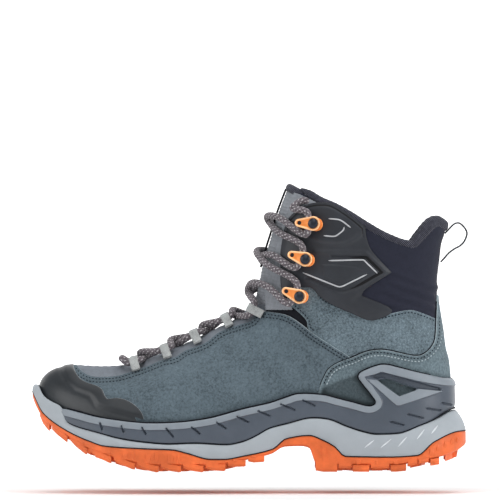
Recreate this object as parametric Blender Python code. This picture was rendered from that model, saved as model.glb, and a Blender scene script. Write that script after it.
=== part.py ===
"""A mid-cut hiking boot for the left foot, as an assembly of separate pieces.

The boot stands on z = 0 with its toe towards -X, its outer side towards -Y and its opening up.
Lengths are in millimetres inside this file, and are turned into metres where a mesh is made.
"""

import math

import bmesh
import bpy
import numpy as np
from mathutils import Matrix, Vector
from mathutils.bvhtree import BVHTree

MM = 0.001

# ---- driving dimensions ----------------------------------------------------------------------
TOE_X = -148.0  # front of the upper
HEEL_X = 139.5  # back of the upper at the sole
CENTRE_SHIFT = -2.0  # moves the whole boot sideways, so that its box is centred on Y = 0
PANEL = 1.5  # thickness of suede and textile panels, outside face on the upper's surface
UNDER = 1.8  # depth at which the pieces behind the panels start
FIT = 0.4  # gap between neighbouring pieces
LUG = 4.5  # depth of the tread
LACE = 4.6  # diameter of the lace
TONGUE_HINGE = (6.0, 115.0)
TONGUE_HALF = 26.0  # half-width of the tongue where it swings between the collar's sides
FOOTBED_HINGE = (-126.0, 41.0)
SIDE_COUNT = 8

# Planes that the upper is lofted through: ridge x, ridge z, base x, base z. The ridge runs over
# the toe and instep and up the front of the shaft; the base runs along the sole, then up the heel.
STATIONS = (
    (-148, 58, -148, 58),
    (-146.3, 62.7, -146, 53.5),
    (-142, 67.8, -140.5, 48),
    (-134, 71.8, -131, 42),
    (-122, 73.6, -117, 36),
    (-104, 72.8, -98, 30.5),
    (-84, 74, -75, 27.3),
    (-64.6, 80.8, -50, 27.5),
    (-44, 89.4, -24, 30),
    (-23, 99.6, 4, 32.5),
    (-9.4, 106.6, 33, 34.5),
    (-1.6, 113, 62, 35.5),
    (1.7, 119.6, 95, 36.5),
    (3.2, 125.4, 125, 37),
    (4.2, 130.4, 139.5, 38),
    (5.4, 135.9, 140, 62),
    (6.7, 142.3, 136.5, 86),
    (8.7, 150.4, 133.2, 109),
    (11.7, 159.4, 131.6, 130),
    (14.7, 170.4, 133.4, 148),
    (18.8, 182.5, 136.8, 165),
    (23.4, 194.6, 139, 178),
    (28.4, 206.6, 141, 190),
)
LAST_SOLE_STATION = 14  # the station whose base is at the back of the heel
FOOT_HALF = (
    (-148, -120, -95, -70, -45, -15, 15, 45, 75, 100, 125, 140),
    (40, 43, 47, 48.5, 46.5, 40.5, 36, 34, 34.5, 35, 34.5, 34),
)
SHAFT_HALF = ((40, 70, 90, 115, 140, 165, 200), (34, 35.5, 36.5, 38.5, 40, 41, 42))
BACK_LINE = (
    (38, 50, 62, 77, 86, 98, 109, 122, 130, 148, 158, 165, 178, 190, 206),
    (139.5, 139.8, 140, 138.8, 136.5, 135, 133.2, 131.6, 131.6, 133.4, 134.6, 136.8, 139, 141, 142),
)
CENTRE_LINE = ((-152, -120, -90, -60, -20, 30, 80, 152), (8, 6.5, 3.5, 1, -1, -1.5, 0, 0))

# Heights along the sole: where the tread stands, and where one layer meets the next.
GROUND_LINE = (
    (-153, -148, -143, -137, -126, -115, -98, -81, -66, -25, -9, 14, 25, 36, 41, 46.5, 103, 115,
     131, 143, 152),
    (47, 37, 30, 26, 19.5, 12.6, 6.6, 2, 0, 0, 2.8, 8.4, 13, 13.3, 12, 0, 0, 2.8, 5.5, 9, 14),
)
OUTSOLE_LINE = (
    (-153, -150, -144.5, -133, -122, -111, -101, -72, -54, -44, -27.5, -18, -5, 16, 25, 41, 51, 59,
     66, 95, 116, 128, 146, 152),
    (56, 50, 40.2, 31.2, 25.2, 20.7, 17.6, 15.8, 15.1, 12.8, 8.5, 8.4, 10.5, 15.5, 22.5, 24.8, 21.3,
     16.8, 10.3, 9.8, 10.9, 20.3, 27.3, 27.5),
)
FRAME_LINE = (
    (-132, -126.6, -121, -105, -90, -72, -56, -38.7, -16.3, -5, 4, 13.8, 25, 43.8, 53, 67, 77.5, 88,
     102, 118, 130, 141, 152),
    (44.8, 34, 31.2, 26.8, 22.9, 20.3, 19.2, 19.7, 18.6, 20.7, 24.6, 30, 32.9, 37.1, 36.4, 31.2,
     27.7, 25.7, 26.2, 31.7, 36.4, 41.6, 43),
)
RIM_LINE = ((-153, -148, -144.5, -139, -132, -126), (60, 59, 52.5, 48.5, 45, 34))

# Outlines of the panels, as seen from the side.
TOE_CAP_REAR = (
    (-124.5, 80), (-122.9, 71.5), (-118.9, 65), (-114, 62), (-106, 59.3), (-102.4, 56.7), (-100, 51),
    (-92, 51.3), (-85.3, 49.7), (-78.6, 45.5), (-74, 39.2), (-71.5, 20),
)
THROAT_EDGE = (
    (-123, 76), (-119.9, 72.3), (-115, 68), (-109, 66), (-90.5, 66.9), (-74.4, 72.3), (-61, 77.7),
    (-52.7, 78.7), (-45.2, 84.3), (-31.3, 89.6), (-21.4, 98.2), (-7.5, 102.3), (2.4, 106.4),
    (6, 111.8), (14, 110.9),
    (25.5, 108.7), (35.5, 102.6), (44.5, 95.5), (70.4, 79.1),
)
HEEL_FRONT = ((70.4, 79.1), (54.7, 71.4), (49, 60.2), (48, 20))
HEEL_TOP = (
    (70.4, 79.1), (81.5, 83.6), (92.7, 84.7), (112.8, 80.7), (120, 80.6), (126.5, 86.8), (128.6, 105),
    (130.2, 122.5), (150, 122.5),
)
ANKLE_TOP = (
    (22.5, 139.3), (42.6, 132), (50.9, 120.9), (70.5, 112.4), (85.2, 107), (111.8, 112.4), (128.6, 105),
)
ANKLE_FRONT = ((40.2, 99.4), (38, 106), (31, 113), (24, 119.4), (21.5, 129.5), (22.5, 139.3))
OVERLAY = (
    (24, 120), (21.2, 130), (22, 139.9), (21.5, 148), (23, 160), (26, 172), (30, 176), (38, 180),
    (44, 184), (50, 183.5), (58, 180), (68, 174.5), (76, 169.5), (80, 156), (94, 138.6), (82, 130),
    (73, 124), (80, 116), (72, 112.6), (51, 121.6), (43, 132.6), (22, 140.4), (23.2, 139.9),
)
COLLAR_TOP = (
    (31, 201), (36, 198.8), (47.4, 191.8), (58.6, 186.9), (70, 180.6), (81, 173.6), (92, 167.3),
    (103.4, 162.4), (109, 161), (114.6, 161), (120, 166.6), (126, 173.6), (131.4, 177.6), (146, 179),
)
BINDING = 5.0  # height of the knitted roll along the collar
FRAME_TOP = (
    (-124, 42.8), (-105.4, 37.9), (-83, 34.6), (-69.7, 33.7), (-50, 34.3), (-27.5, 37.4), (-5, 43.5),
    (13.8, 47.7), (33.4, 53.9), (50.8, 53.2), (71.6, 48), (82, 46), (87, 48.8), (76.5, 65.4),
    (78, 68.9), (90, 74), (99.5, 73.5), (118, 68.3), (139.5, 64.8), (160, 64.5),
)
FRAME_WINDOW = ((87, 62.6), (94.9, 64.8), (117, 57.6), (103.4, 51.8))

HOOK_ROWS = (((46.7, 171.5), (33.3, 171.9)), ((41, 146.9), (27.9, 151.2)), ((36.6, 121.6), (23, 127.3)))
LOOP_ROWS = ((6.5, 110.2), (-14.5, 101.6), (-36.5, 90.2), (-57.5, 79.8), (-79.5, 71.0))
PULL_LOOP = (
    (140.6, 169.6), (143.2, 172.4), (147, 172.6), (151.7, 166.6), (150.2, 160.6), (147, 157),
    (143, 154.8), (139, 151.8), (136.6, 148.6),
)

SUEDE = (0.115, 0.152, 0.178)
CHARCOAL = (0.035, 0.040, 0.046)
NAVY = (0.026, 0.027, 0.043)
GREY = (0.20, 0.21, 0.235)
FRAME_GREY = (0.082, 0.100, 0.130)
MIDSOLE_GREY = (0.38, 0.42, 0.46)
ORANGE = (0.80, 0.165, 0.035)
HOOK_ORANGE = (0.90, 0.30, 0.075)


# ---- small tools -----------------------------------------------------------------------------
def line(table, at):
    """The smooth monotone curve through (places, values), read at one or many places."""
    xs, ys = np.asarray(table[0], float), np.asarray(table[1], float)
    steps = np.diff(xs)
    slope = np.diff(ys) / steps
    lean = np.zeros_like(ys)
    product = slope[:-1] * slope[1:]
    lean[1:-1] = np.where(product > 0, 2 * product / np.where(product > 0, slope[:-1] + slope[1:], 1), 0)
    lean[0], lean[-1] = slope[0], slope[-1]
    at = np.clip(np.asarray(at, float), xs[0], xs[-1])
    k = np.clip(np.searchsorted(xs, at) - 1, 0, len(steps) - 1)
    s = (at - xs[k]) / steps[k]
    start = ys[k] * (1 + 2 * s) * (1 - s) ** 2 + lean[k] * steps[k] * s * (1 - s) ** 2
    return start + ys[k + 1] * s * s * (3 - 2 * s) + lean[k + 1] * steps[k] * s * s * (s - 1)


def smooth(low, high, value):
    s = np.clip((np.asarray(value, float) - low) / (high - low), 0, 1)
    return s * s * (3 - 2 * s)


def rounded(distance, reach, power):
    """Rises from 0 at an edge to 1 at reach from it, as a rounded corner does."""
    s = np.clip(distance / reach, 0, 1)
    return np.sqrt(1 - (1 - s) ** power)


def inside(outline, x, z):
    """Signed distance to a closed outline in the side view, positive inside it."""
    x, z = np.atleast_1d(x), np.atleast_1d(z)
    nearest, within = np.full(x.shape, 1e9), np.zeros(x.shape, bool)
    for (ax, az), (bx, bz) in zip(outline, [*outline[1:], outline[0]]):
        dx, dz = bx - ax, bz - az
        t = np.clip(((x - ax) * dx + (z - az) * dz) / max(dx * dx + dz * dz, 1e-9), 0, 1)
        nearest = np.minimum(nearest, np.hypot(x - ax - t * dx, z - az - t * dz))
        if dz:
            within ^= ((az > z) != (bz > z)) & (x < ax + (z - az) / dz * dx)
    return np.where(within, nearest, -nearest)


def make_object(name, points, faces, material):
    """A mesh object from points in millimetres. Its faces are turned outwards."""
    mesh = bpy.data.meshes.new(name)
    points = (np.asarray(points, float) + (0, CENTRE_SHIFT, 0)) * MM
    mesh.from_pydata([tuple(p) for p in points], [], [tuple(int(i) for i in f) for f in faces])
    shape = bmesh.new()
    shape.from_mesh(mesh)
    bmesh.ops.triangulate(shape, faces=shape.faces)
    bmesh.ops.recalc_face_normals(shape, faces=shape.faces)
    shape.to_mesh(mesh)
    shape.free()
    obj = bpy.data.objects.new(name, mesh)
    mesh.materials.append(material)
    bpy.context.scene.collection.objects.link(obj)
    return obj


def cutter(obj):
    obj.hide_render = True
    obj.display_type = "WIRE"
    return obj


def combine(obj, other, operation):
    modifier = obj.modifiers.new(operation.lower(), "BOOLEAN")
    modifier.operation, modifier.object = operation, cutter(other)


def hinge_point(name, x, z):
    """An empty on a joint's axis, which the moving pieces hang from."""
    empty = bpy.data.objects.new(name, None)
    empty.location = (x * MM, CENTRE_SHIFT * MM, z * MM)
    bpy.context.scene.collection.objects.link(empty)
    bpy.context.view_layer.update()
    return empty


def hang(obj, empty):
    obj.parent = empty
    obj.matrix_parent_inverse = empty.matrix_world.inverted()


def material(name, colour, roughness, metallic=0.0):
    made = bpy.data.materials.new(name)
    made.use_nodes = True
    shader = made.node_tree.nodes["Principled BSDF"]
    shader.inputs["Base Color"].default_value = (*colour, 1)
    shader.inputs["Roughness"].default_value = roughness
    shader.inputs["Metallic"].default_value = metallic
    return made


# ---- the surface of the upper ----------------------------------------------------------------
def plane_at(u):
    """The plane at u: ridge x, ridge z, base x, base z. Past the sole its base is on the back line."""
    table = np.array(STATIONS, float)
    rx, rz, bx, bz = (line((np.arange(len(table)), table[:, k]), u) for k in range(4))
    return rx, rz, np.where(np.asarray(u) >= LAST_SOLE_STATION, line(BACK_LINE, bz), bx), bz


def half_width(x, z, below_ridge, section):
    body = line(FOOT_HALF, x)
    body = body + (line(SHAFT_HALF, z) - body) * smooth(55, 115, z)
    front = rounded(below_ridge, np.clip(0.92 * section, 1e-6, 55), 2.1)
    back = rounded(np.maximum(line(BACK_LINE, z) - x, 0), 42 + 13 * smooth(60, 130, z), 2.25)
    return body * front * back * rounded(x - TOE_X, 60, 2.2)


def upper_point(u, v):
    """A point of the outer surface: v is 0 on the ridge, -1 and 1 at the base on either side."""
    rx, rz, bx, bz = plane_at(u)
    closed = smooth(11, 14.5, u)
    t = (1 - closed) * (1 - np.cos(np.pi / 2 * abs(v))) + closed * np.sin(np.pi / 2 * abs(v)) ** 2
    x, z = rx + (bx - rx) * t, rz + (bz - rz) * t
    section = np.hypot(bx - rx, bz - rz)
    return np.array([x, line(CENTRE_LINE, x) + np.sign(v) * half_width(x, z, t * section, section), z])


FINE_PLANES = np.linspace(0.01, len(STATIONS) - 1, 1200)


def side_depth(x, z):
    """Half-width of the upper at a place in the side view, above the sole."""
    rx, rz, bx, bz = plane_at(FINE_PLANES)
    turn = (x - rx) * (bz - rz) - (z - rz) * (bx - rx)
    k = int(np.argmax((turn[:-1] <= 0) != (turn[1:] <= 0)))
    section = math.hypot(bx[k] - rx[k], bz[k] - rz[k])
    t = ((x - rx[k]) * (bx[k] - rx[k]) + (z - rz[k]) * (bz[k] - rz[k])) / section**2
    return float(half_width(x, z, t * section, section))


def side_point(x, z, side, lift=0.0):
    """The point and the outward direction of the upper's surface at a place in the side view."""
    step = 1.5
    slope_x = (side_depth(x + step, z) - side_depth(x - step, z)) / 2 / step
    slope_z = (side_depth(x, z + step) - side_depth(x, z - step)) / 2 / step
    normal = Vector((-slope_x, side, -slope_z)).normalized()
    middle = float(line(CENTRE_LINE, x))
    return Vector((x, middle + side * side_depth(x, z), z)) + normal * lift, normal


class Surface:
    """A triangulated sheet with a direction at each point, which panels are cut from."""

    def __init__(self, rows):
        """rows: equally long rows of points, from one end to the other."""
        rows = np.array(rows, float)
        flat = rows.reshape(-1, 3)
        _, first, index = np.unique(np.round(flat, 3), axis=0, return_index=True, return_inverse=True)
        index = index.reshape(rows.shape[:2])
        self.points = flat[first]
        faces = []
        for i in range(len(rows) - 1):
            for j in range(rows.shape[1] - 1):
                a, b, c, d = index[i, j], index[i, j + 1], index[i + 1, j + 1], index[i + 1, j]
                faces += [(a, b, c), (a, c, d)] if j < rows.shape[1] // 2 else [(a, b, d), (b, c, d)]
        self.faces = [f for f in faces if len(set(f)) == 3]
        corners = self.points[np.array(self.faces)]
        normals = np.cross(corners[:, 1] - corners[:, 0], corners[:, 2] - corners[:, 0])
        self.normals = np.zeros_like(self.points)
        for k in range(3):
            np.add.at(self.normals, np.array(self.faces)[:, k], normals)
        self.normals /= np.linalg.norm(self.normals, axis=1)[:, None]

    def cut(self, field):
        """The part where field(points) is above 0: points, directions and triangles."""
        value = field(self.points)
        value = np.where(abs(value) < 0.02, 0.02, value)
        points, normals, made = list(self.points), list(self.normals), {}

        def crossing(a, b):
            key = (min(a, b), max(a, b))
            if key not in made:
                t = value[key[0]] / (value[key[0]] - value[key[1]])
                points.append(self.points[key[0]] * (1 - t) + self.points[key[1]] * t)
                normal = self.normals[key[0]] * (1 - t) + self.normals[key[1]] * t
                normals.append(normal / np.linalg.norm(normal))
                made[key] = len(points) - 1
            return made[key]

        faces = []
        for f in self.faces:
            keep = [value[i] > 0 for i in f]
            if all(keep):
                faces.append(f)
            elif any(keep):
                k = keep.index(True) if sum(keep) == 1 else keep.index(False)
                a, b, c = f[k], f[(k + 1) % 3], f[(k + 2) % 3]
                if sum(keep) == 1:
                    faces.append((a, crossing(a, b), crossing(a, c)))
                else:
                    faces += [(crossing(a, b), b, c), (crossing(a, b), c, crossing(a, c))]
        return np.array(points), np.array(normals), largest_part(faces)


def largest_part(faces):
    """The triangles of the biggest piece that hangs together."""
    owner = {}

    def top(i):
        while owner.setdefault(i, i) != i:
            owner[i] = owner[owner[i]]
            i = owner[i]
        return i

    for a, b, c in faces:
        owner[top(a)] = top(b)
        owner[top(b)] = top(c)
    groups = {}
    for f in faces:
        groups.setdefault(top(f[0]), []).append(f)
    return max(groups.values(), key=len)


def panel(name, surface, field, inner, outer, finish):
    """A piece of sheet between two depths from the surface, inner < outer, in millimetres."""
    points, normals, faces = surface.cut(field)
    used = sorted({i for f in faces for i in f})
    place = {i: k for k, i in enumerate(used)}
    points, normals = points[used], normals[used]
    faces = [tuple(place[i] for i in f) for f in faces]
    low, high = (d(points) if callable(d) else np.full(len(points), d) for d in (inner, outer))
    count = len(points)
    edges = {}
    for a, b, c in faces:
        for edge in ((a, b), (b, c), (c, a)):
            edges[edge] = True
    rim = [(a, b, b + count, a + count) for a, b in edges if (b, a) not in edges]
    both = np.concatenate([points + normals * high[:, None], points + normals * low[:, None]])
    under = [(c + count, b + count, a + count) for a, b, c in faces]
    return make_object(name, both, [*faces, *under, *rim], finish)


# ---- rings of the sole -----------------------------------------------------------------------
def sole_places():
    """Places along the sole, close together at its ends and at the heel's front step."""
    middle, half = (TOE_X + HEEL_X) / 2, (HEEL_X - TOE_X) / 2
    spread = middle - half * np.cos(np.linspace(0, math.pi, 24))
    return np.sort(np.concatenate([spread, (-132.0, -126.6, 41.0, 47.0)]))


def ring(offset, height):
    """Points round the sole, offset from the upper's foot: the outer side first, then back."""
    x = sole_places()
    half = line(FOOT_HALF, x) * rounded(HEEL_X - x, 42, 2.25) * rounded(x - TOE_X, 60, 2.2)
    y = line(CENTRE_LINE, x)
    flat = np.concatenate([np.stack([x, y - half], 1), np.stack([x, y + half], 1)[-2:0:-1]])
    ahead, behind = np.roll(flat, -1, 0), np.roll(flat, 1, 0)
    tangent = ahead - behind
    normal = np.stack([tangent[:, 1], -tangent[:, 0]], 1)
    normal /= np.linalg.norm(normal, axis=1)[:, None]
    distance = offset(flat[:, 0]) if callable(offset) else offset
    moved = flat + normal * np.asarray(distance).reshape(-1, 1)
    return np.column_stack([moved, height(moved[:, 0])])


def cap(count):
    """Faces that close a ring of count points across, side to side."""
    half = count // 2
    across = [(i, i + 1, count - i - 1, (count - i) % count) for i in range(1, half - 1)]
    return [(0, 1, count - 1), *across, (half - 1, half, half + 1)]


def ring_solid(name, rings, finish):
    """A closed solid through a list of rings, with its first and last ring closed across."""
    count = len(rings[0])
    faces = list(cap(count))
    for k in range(len(rings) - 1):
        for i in range(count):
            j = (i + 1) % count
            faces.append((k * count + i, k * count + j, (k + 1) * count + j, (k + 1) * count + i))
    faces += [tuple(i + (len(rings) - 1) * count for i in f) for f in cap(count)]
    return make_object(name, np.concatenate(rings), faces, finish)


def board_height(x):
    table = np.array(STATIONS[: LAST_SOLE_STATION + 1], float)
    return line((table[:, 2], table[:, 3]), x)


def ground(x):
    return line(GROUND_LINE, x)


def outsole_rim(x):
    return line(OUTSOLE_LINE, x)


def tread(x):
    return np.minimum(ground(x) + LUG, outsole_rim(x) - 2.6)


def outsole_floor(x):
    return np.minimum(tread(x) + 3, outsole_rim(x) - 0.6)


def flare(side, toe, heel):
    """An offset that differs at the toe, along the sides and round the heel."""
    return lambda x: side + (toe - side) * (1 - smooth(-148, -105, x)) + (heel - side) * smooth(95, 139, x)


def lug_corners(centre, size, slant):
    """Corners of a tapered lug, its smaller face down, rooted in the outsole."""
    (cx, cy), (lx, ly) = centre, size
    corners = []
    for rise, grow in ((0, 0.84), (LUG + 1.2, 1.12)):
        for sx, sy in ((-1, -1), (1, -1), (1, 1), (-1, 1)):
            px, py = sx * lx / 2 * grow, sy * ly / 2 * grow
            x = cx + px * math.cos(slant) - py * math.sin(slant)
            corners.append((x, cy + px * math.sin(slant) + py * math.cos(slant), float(ground(x)) + rise))
    return corners


BLOCK_FACES = ((3, 2, 1, 0), (4, 5, 6, 7), (0, 1, 5, 4), (1, 2, 6, 5), (2, 3, 7, 6), (3, 0, 4, 7))


# ---- the pieces ------------------------------------------------------------------------------
def make_sole(finishes):
    outsole = ring_solid("outsole", [
        ring(flare(1.5, 1.0, 7.5), tread),
        ring(flare(4.6, 4.3, 11.4), lambda x: np.minimum(tread(x) + 2.2, outsole_rim(x) - 0.4)),
        ring(flare(4.4, 4.3, 11.2), outsole_rim),
        ring(flare(2.2, 2.1, 8.8), outsole_rim),
        ring(flare(1.6, 1.2, 7.8), outsole_floor),
    ], finishes["rubber"])
    corners, faces = [], []
    for centre, size, slant in lug_places():
        faces += [tuple(i + len(corners) for i in f) for f in BLOCK_FACES]
        corners += lug_corners(centre, size, slant)
    combine(outsole, make_object("lugs", corners, faces, finishes["rubber"]), "UNION")

    def midsole_top(x):
        return np.where(x < -129, line(RIM_LINE, x), line(FRAME_LINE, x))

    midsole = ring_solid("midsole", [
        ring(flare(1.2, 0.8, 7.4), lambda x: outsole_floor(x) + 0.35),
        ring(flare(1.8, 1.7, 8.4), lambda x: outsole_rim(x) + 0.35),
        ring(flare(4.6, 4.2, 11.2), lambda x: outsole_rim(x) + 0.4),
        ring(flare(5.2, 4.0, 9.0), lambda x: 0.5 * outsole_rim(x) + 0.5 * midsole_top(x)),
        ring(flare(4.2, 3.4, 4.4), midsole_top),
        ring(flare(1.4, 0.8, 1.7), midsole_top),
        ring(lambda x: np.where(x < -129, 0.4, -0.5), lambda x: board_height(x) - 3.7),
    ], finishes["midsole"])
    flat_bar("shank", (-60.0, 95.0, 11.0), -5.3, -4.0, finishes["plate"])
    recess = flat_bar("shank_recess", (-60.6, 95.6, 11.5), -5.8, 4, finishes["plate"])
    combine(midsole, recess, "DIFFERENCE")
    board_edge = flare(-1.2, -5, -1.2)
    board_rings = [ring(board_edge, lambda x, drop=drop: board_height(x) - drop) for drop in (3.2, 2.1)]
    ring_solid("insole_board", board_rings, finishes["board"])
    footbed = ring_solid("footbed", [
        ring(flare(-6.4, -15.0, -6.6), lambda x: board_height(x) - 0.5),
        ring(flare(-6.4, -15.0, -6.6), lambda x: board_height(x) + 4.4),
        ring(flare(-11.0, -19.0, -14.0), lambda x: board_height(x) + 3.6),
    ], finishes["footbed"])
    hang(footbed, hinge_point("footbed_hinge", *FOOTBED_HINGE))


def flat_bar(name, extent, low, high, finish):
    """A narrow plate that follows the insole board from extent[0] to extent[1]."""
    start, end, half = extent
    count = 9
    x = np.linspace(start, end, count)
    y, z = line(CENTRE_LINE, x), board_height(x)
    corners = [(px, py + sy * half, pz + dz) for px, py, pz in zip(x, y, z) for sy, dz in
               ((-1, low), (1, low), (1, high), (-1, high))]
    faces = [(0, 1, 2, 3), tuple(4 * (count - 1) + k for k in (3, 2, 1, 0))]
    for i in range(count - 1):
        near, far = 4 * i, 4 * i + 4
        faces += [(near + k, near + (k + 1) % 4, far + (k + 1) % 4, far + k) for k in range(4)]
    return make_object(name, corners, faces, finish)


def lug_places():
    """The tread: (centre, size, slant) of each lug."""
    lugs = []
    for k in range(9):
        x = -137 + 14.6 * k
        reach = float(line(FOOT_HALF, x) * rounded(x - TOE_X, 60, 2.2)) + 3.6
        y = float(line(CENTRE_LINE, x))
        lugs += [((x, y + side * (reach - 7.2)), (8.4, 13), side * 0.25) for side in (-1, 1)]
        if 1 <= k:
            lugs.append(((x + 7, y), (7.6, 22), 0.0))
    for x in (54, 69, 84, 99):
        lugs += [((x, side * 31), (10.0, 14), -side * 0.15) for side in (-1, 1)]
    lugs += [((119, side * 26), (10, 13), side * 0.5) for side in (-1, 1)]
    lugs += [((138, 0), (9, 20), 0.0), ((60, 0), (22, 26), 0.0), ((92, 0), (22, 26), 0.0)]
    return lugs


def make_upper(finishes):
    round_heel = (12.6, 13.1, 13.45, 13.7, 13.87, 14)
    u = np.concatenate([np.linspace(0, 12, 13), round_heel, np.linspace(14.8, len(STATIONS) - 1, 8)])
    v = np.linspace(1, -1, 2 * SIDE_COUNT + 1)
    upper = Surface([[upper_point(a, b) for b in v] for a in u])

    def within(*outlines, margin=FIT / 2):
        return lambda p: np.max([inside(o, p[:, 0], p[:, 2]) for o in outlines], axis=0) - margin

    def both(*fields):
        return lambda p: np.min([field(p) for field in fields], axis=0)

    def across(p):
        return abs(p[:, 1] - line(CENTRE_LINE, p[:, 0]))

    def half(side):
        return lambda p: side * (p[:, 1] - line(CENTRE_LINE, p[:, 0])) - 0.3

    def beside(distance):
        """Outside a strip down the front of the shaft, and everywhere at its back."""
        return lambda p: np.maximum(across(p) - distance, p[:, 0] - 75)

    def above(z):
        return lambda p: p[:, 2] - z

    toe_cap = [(-170, 20), (-170, 90), *TOE_CAP_REAR]
    quarter = [*TOE_CAP_REAR[::-1], *THROAT_EDGE, *HEEL_FRONT]
    heel = [*HEEL_FRONT[::-1], *HEEL_TOP, (170, 122.5), (170, 20)]
    ankle = [*ANKLE_TOP, *HEEL_TOP[5::-1], (44.5, 95.5), *ANKLE_FRONT]
    binding_low = [(x + 0.25 * BINDING * (x > 100), z - BINDING - 2) for x, z in COLLAR_TOP]
    shaft = [*binding_low, (170, 172), (170, 60), (20, 60), (20, 197)]
    collar = [*ANKLE_TOP, (130.2, 122.5), (170, 122.5), (170, 230), (46, 230), (46, 190), (38, 177),
              (24, 168), (20, 140)]
    lining_front = [(-170, 0), (-170, 70), (-126, 78), (-112, 60), (-88, 59), (-60, 69), (-44, 75),
                    (-20, 86), (30, 100), (30, 240), (170, 240), (170, 0)]
    lined = [*binding_low, (170, 172), (170, 0), (-170, 0), (-170, 90), (20, 197)]
    puff = [(-170, 0), (-170, 90), (-130, 90), (-129, 70), (-121, 58), (-112, 20)]
    counter = [(80, 20), (96, 76), (118, 84), (170, 84), (170, 20)]
    padded = [(50, 60), (50, 104), (40, 121), (27, 134), (27, 230), (200, 230), (200, 60)]
    behind_tongue = TONGUE_HALF + 11

    panel("toe_cap", upper, within(toe_cap), -PANEL, 0, finishes["cap"])
    panel("heel_panel", upper, within(heel), -PANEL, 0, finishes["suede"])
    for side, word in ((-1, "outer"), (1, "inner")):
        on_side = half(side)
        panel(f"quarter_{word}", upper, both(within(quarter), on_side), -PANEL, 0, finishes["suede"])
        panel(f"ankle_panel_{word}", upper, both(within(ankle), on_side), -PANEL, 0, finishes["suede"])
        overlay = both(within(OVERLAY), on_side)
        panel(f"collar_overlay_{word}", upper, overlay, 0.3, 1.4, finishes["overlay"])
    shell = both(within(collar), within(shaft), beside(TONGUE_HALF - 5))
    panel("collar_shell", upper, shell, -PANEL, 0, finishes["navy"])
    make_binding(finishes)
    padding = both(within(shaft), within(padded), beside(behind_tongue), above(103))
    panel("collar_padding", upper, padding, -5.4, -UNDER, finishes["foam"])

    def lining_depth(p):
        return -3.3 - 2.6 * smooth(64, 88, p[:, 2]) * smooth(-10, 20, p[:, 0])

    def lining_inner(p):
        return lining_depth(p) - 0.9

    def throat_open(p):
        return np.where(p[:, 0] > 20, 60, inside(lining_front, p[:, 0], p[:, 2]))

    def behind_or_low(p):
        return np.maximum(beside(behind_tongue)(p), 112 - p[:, 2])

    lining = both(within(lined), throat_open, behind_or_low)
    panel("lining", upper, lining, lining_inner, lining_depth, finishes["lining"])
    panel("toe_puff", upper, within(puff), -3.0, -UNDER, finishes["plate"])
    panel("heel_counter", upper, within(counter), -3.0, -UNDER, finishes["plate"])
    gusset = [(-124.6, 100), (-124.6, 66), (-113, 62), (-90, 61), (-60, 71), (-44, 77), (-20, 88),
              (20, 95), (48, 90), (46, 104), (36, 118), (22, 130), (0, 130), (-30, 117)]

    def below_tongue(p):
        return np.maximum(115.2 - p[:, 2], across(p) - TONGUE_HALF - 1)

    panel("throat_gusset", upper, both(within(gusset), below_tongue), -3.0, -UNDER, finishes["grey"])
    tongue_outline = [(-60, 116.4), (3, 116.4), (40, 120.5), (60, 150), (60, 186), (31, 201), (-60, 201)]
    tongue = both(within(tongue_outline), lambda p: TONGUE_HALF - across(p), lambda p: 60 - p[:, 0])
    padding = both(tongue, above(119), lambda p: 198 - 0.5 * (p[:, 0] - 25) - p[:, 2])
    tongue_parts = [
        panel("tongue", upper, tongue, -3.1, -UNDER - 0.1, finishes["grey"]),
        panel("tongue_padding", upper, padding, -6.4, -3.5, finishes["foam"]),
    ]
    pivot = hinge_point("tongue_hinge", *TONGUE_HINGE)
    for part in tongue_parts:
        hang(part, pivot)
    return upper


def make_binding(finishes):
    """The knitted roll along the top of the collar, from the tongue round the back to the tongue."""
    xs, zs = np.array(COLLAR_TOP[2:-1]).T
    top = [(x, float(line((xs, zs), x))) for x in (47.4, 58, 70, 82, 92, 101, 109, 116, 122, 127, 131.4)]
    top.append((float(line(BACK_LINE, 178.6)), 178.6))
    rows = []
    for drop in (0, BINDING):
        low = [(x + 0.25 * drop * (x > 100) * (x < 135), z - drop) for x, z in top]
        low[-1] = (float(line(BACK_LINE, low[-1][1])), low[-1][1])
        outer, inner = ([(x, line(CENTRE_LINE, x) + side * side_depth(x - 0.02, z), z) for x, z in low]
                        for side in (-1, 1))
        rows.append(outer + inner[-2::-1])
    panel("collar_binding", Surface(rows[::-1]), lambda p: np.ones(len(p)), -6.8, 0.2, finishes["knit"])


def make_frame(finishes):
    """The stabiliser: a sheet round the sole's walls, with a bridge and a window at the heel."""
    columns = [*np.linspace(-127, 62, 12), 70, 76, 82, 88, 94, 100, 106, 112, 118, 123, 128, 132, 136, None]
    tops, bottoms = np.array(FRAME_TOP[:10]).T, (FRAME_LINE[0], FRAME_LINE[1])
    sides = {-1: [], 1: []}
    for x in columns:
        high = 78.0 if x is None or x > 64 else float(line(tops, x)) + 4
        low = float(line(bottoms, 152 if x is None else x)) - 2
        for side in sides:
            column = []
            for z in np.linspace(high, low, 8):
                level = max(z, float(board_height(135 if x is None else x)) + 0.5)
                at = float(line(BACK_LINE, level)) if x is None else x
                half = 0.0 if x is None else side_depth(at, level)
                column.append((at, float(line(CENTRE_LINE, at)) + side * half, z))
            sides[side].append(column)
    surface = Surface(sides[-1] + sides[1][::-1])
    places = np.linspace(152, -124, 26)
    edge = [(x, float(line(FRAME_LINE, x) + 1.6 + 2.5 * smooth(118, 136, x))) for x in places]
    outline = [*FRAME_TOP, (160, 48), *edge, (-124, 40)]

    def field(p):
        return np.minimum(inside(outline, p[:, 0], p[:, 2]), -0.2 - inside(FRAME_WINDOW, p[:, 0], p[:, 2]))

    panel("stabiliser_frame", surface, field, lambda p: 2.1 + 0.3 * smooth(90, 125, p[:, 0]),
          lambda p: 3.5 + 0.9 * (1 - smooth(44, 62, p[:, 2])), finishes["frame"])


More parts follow.
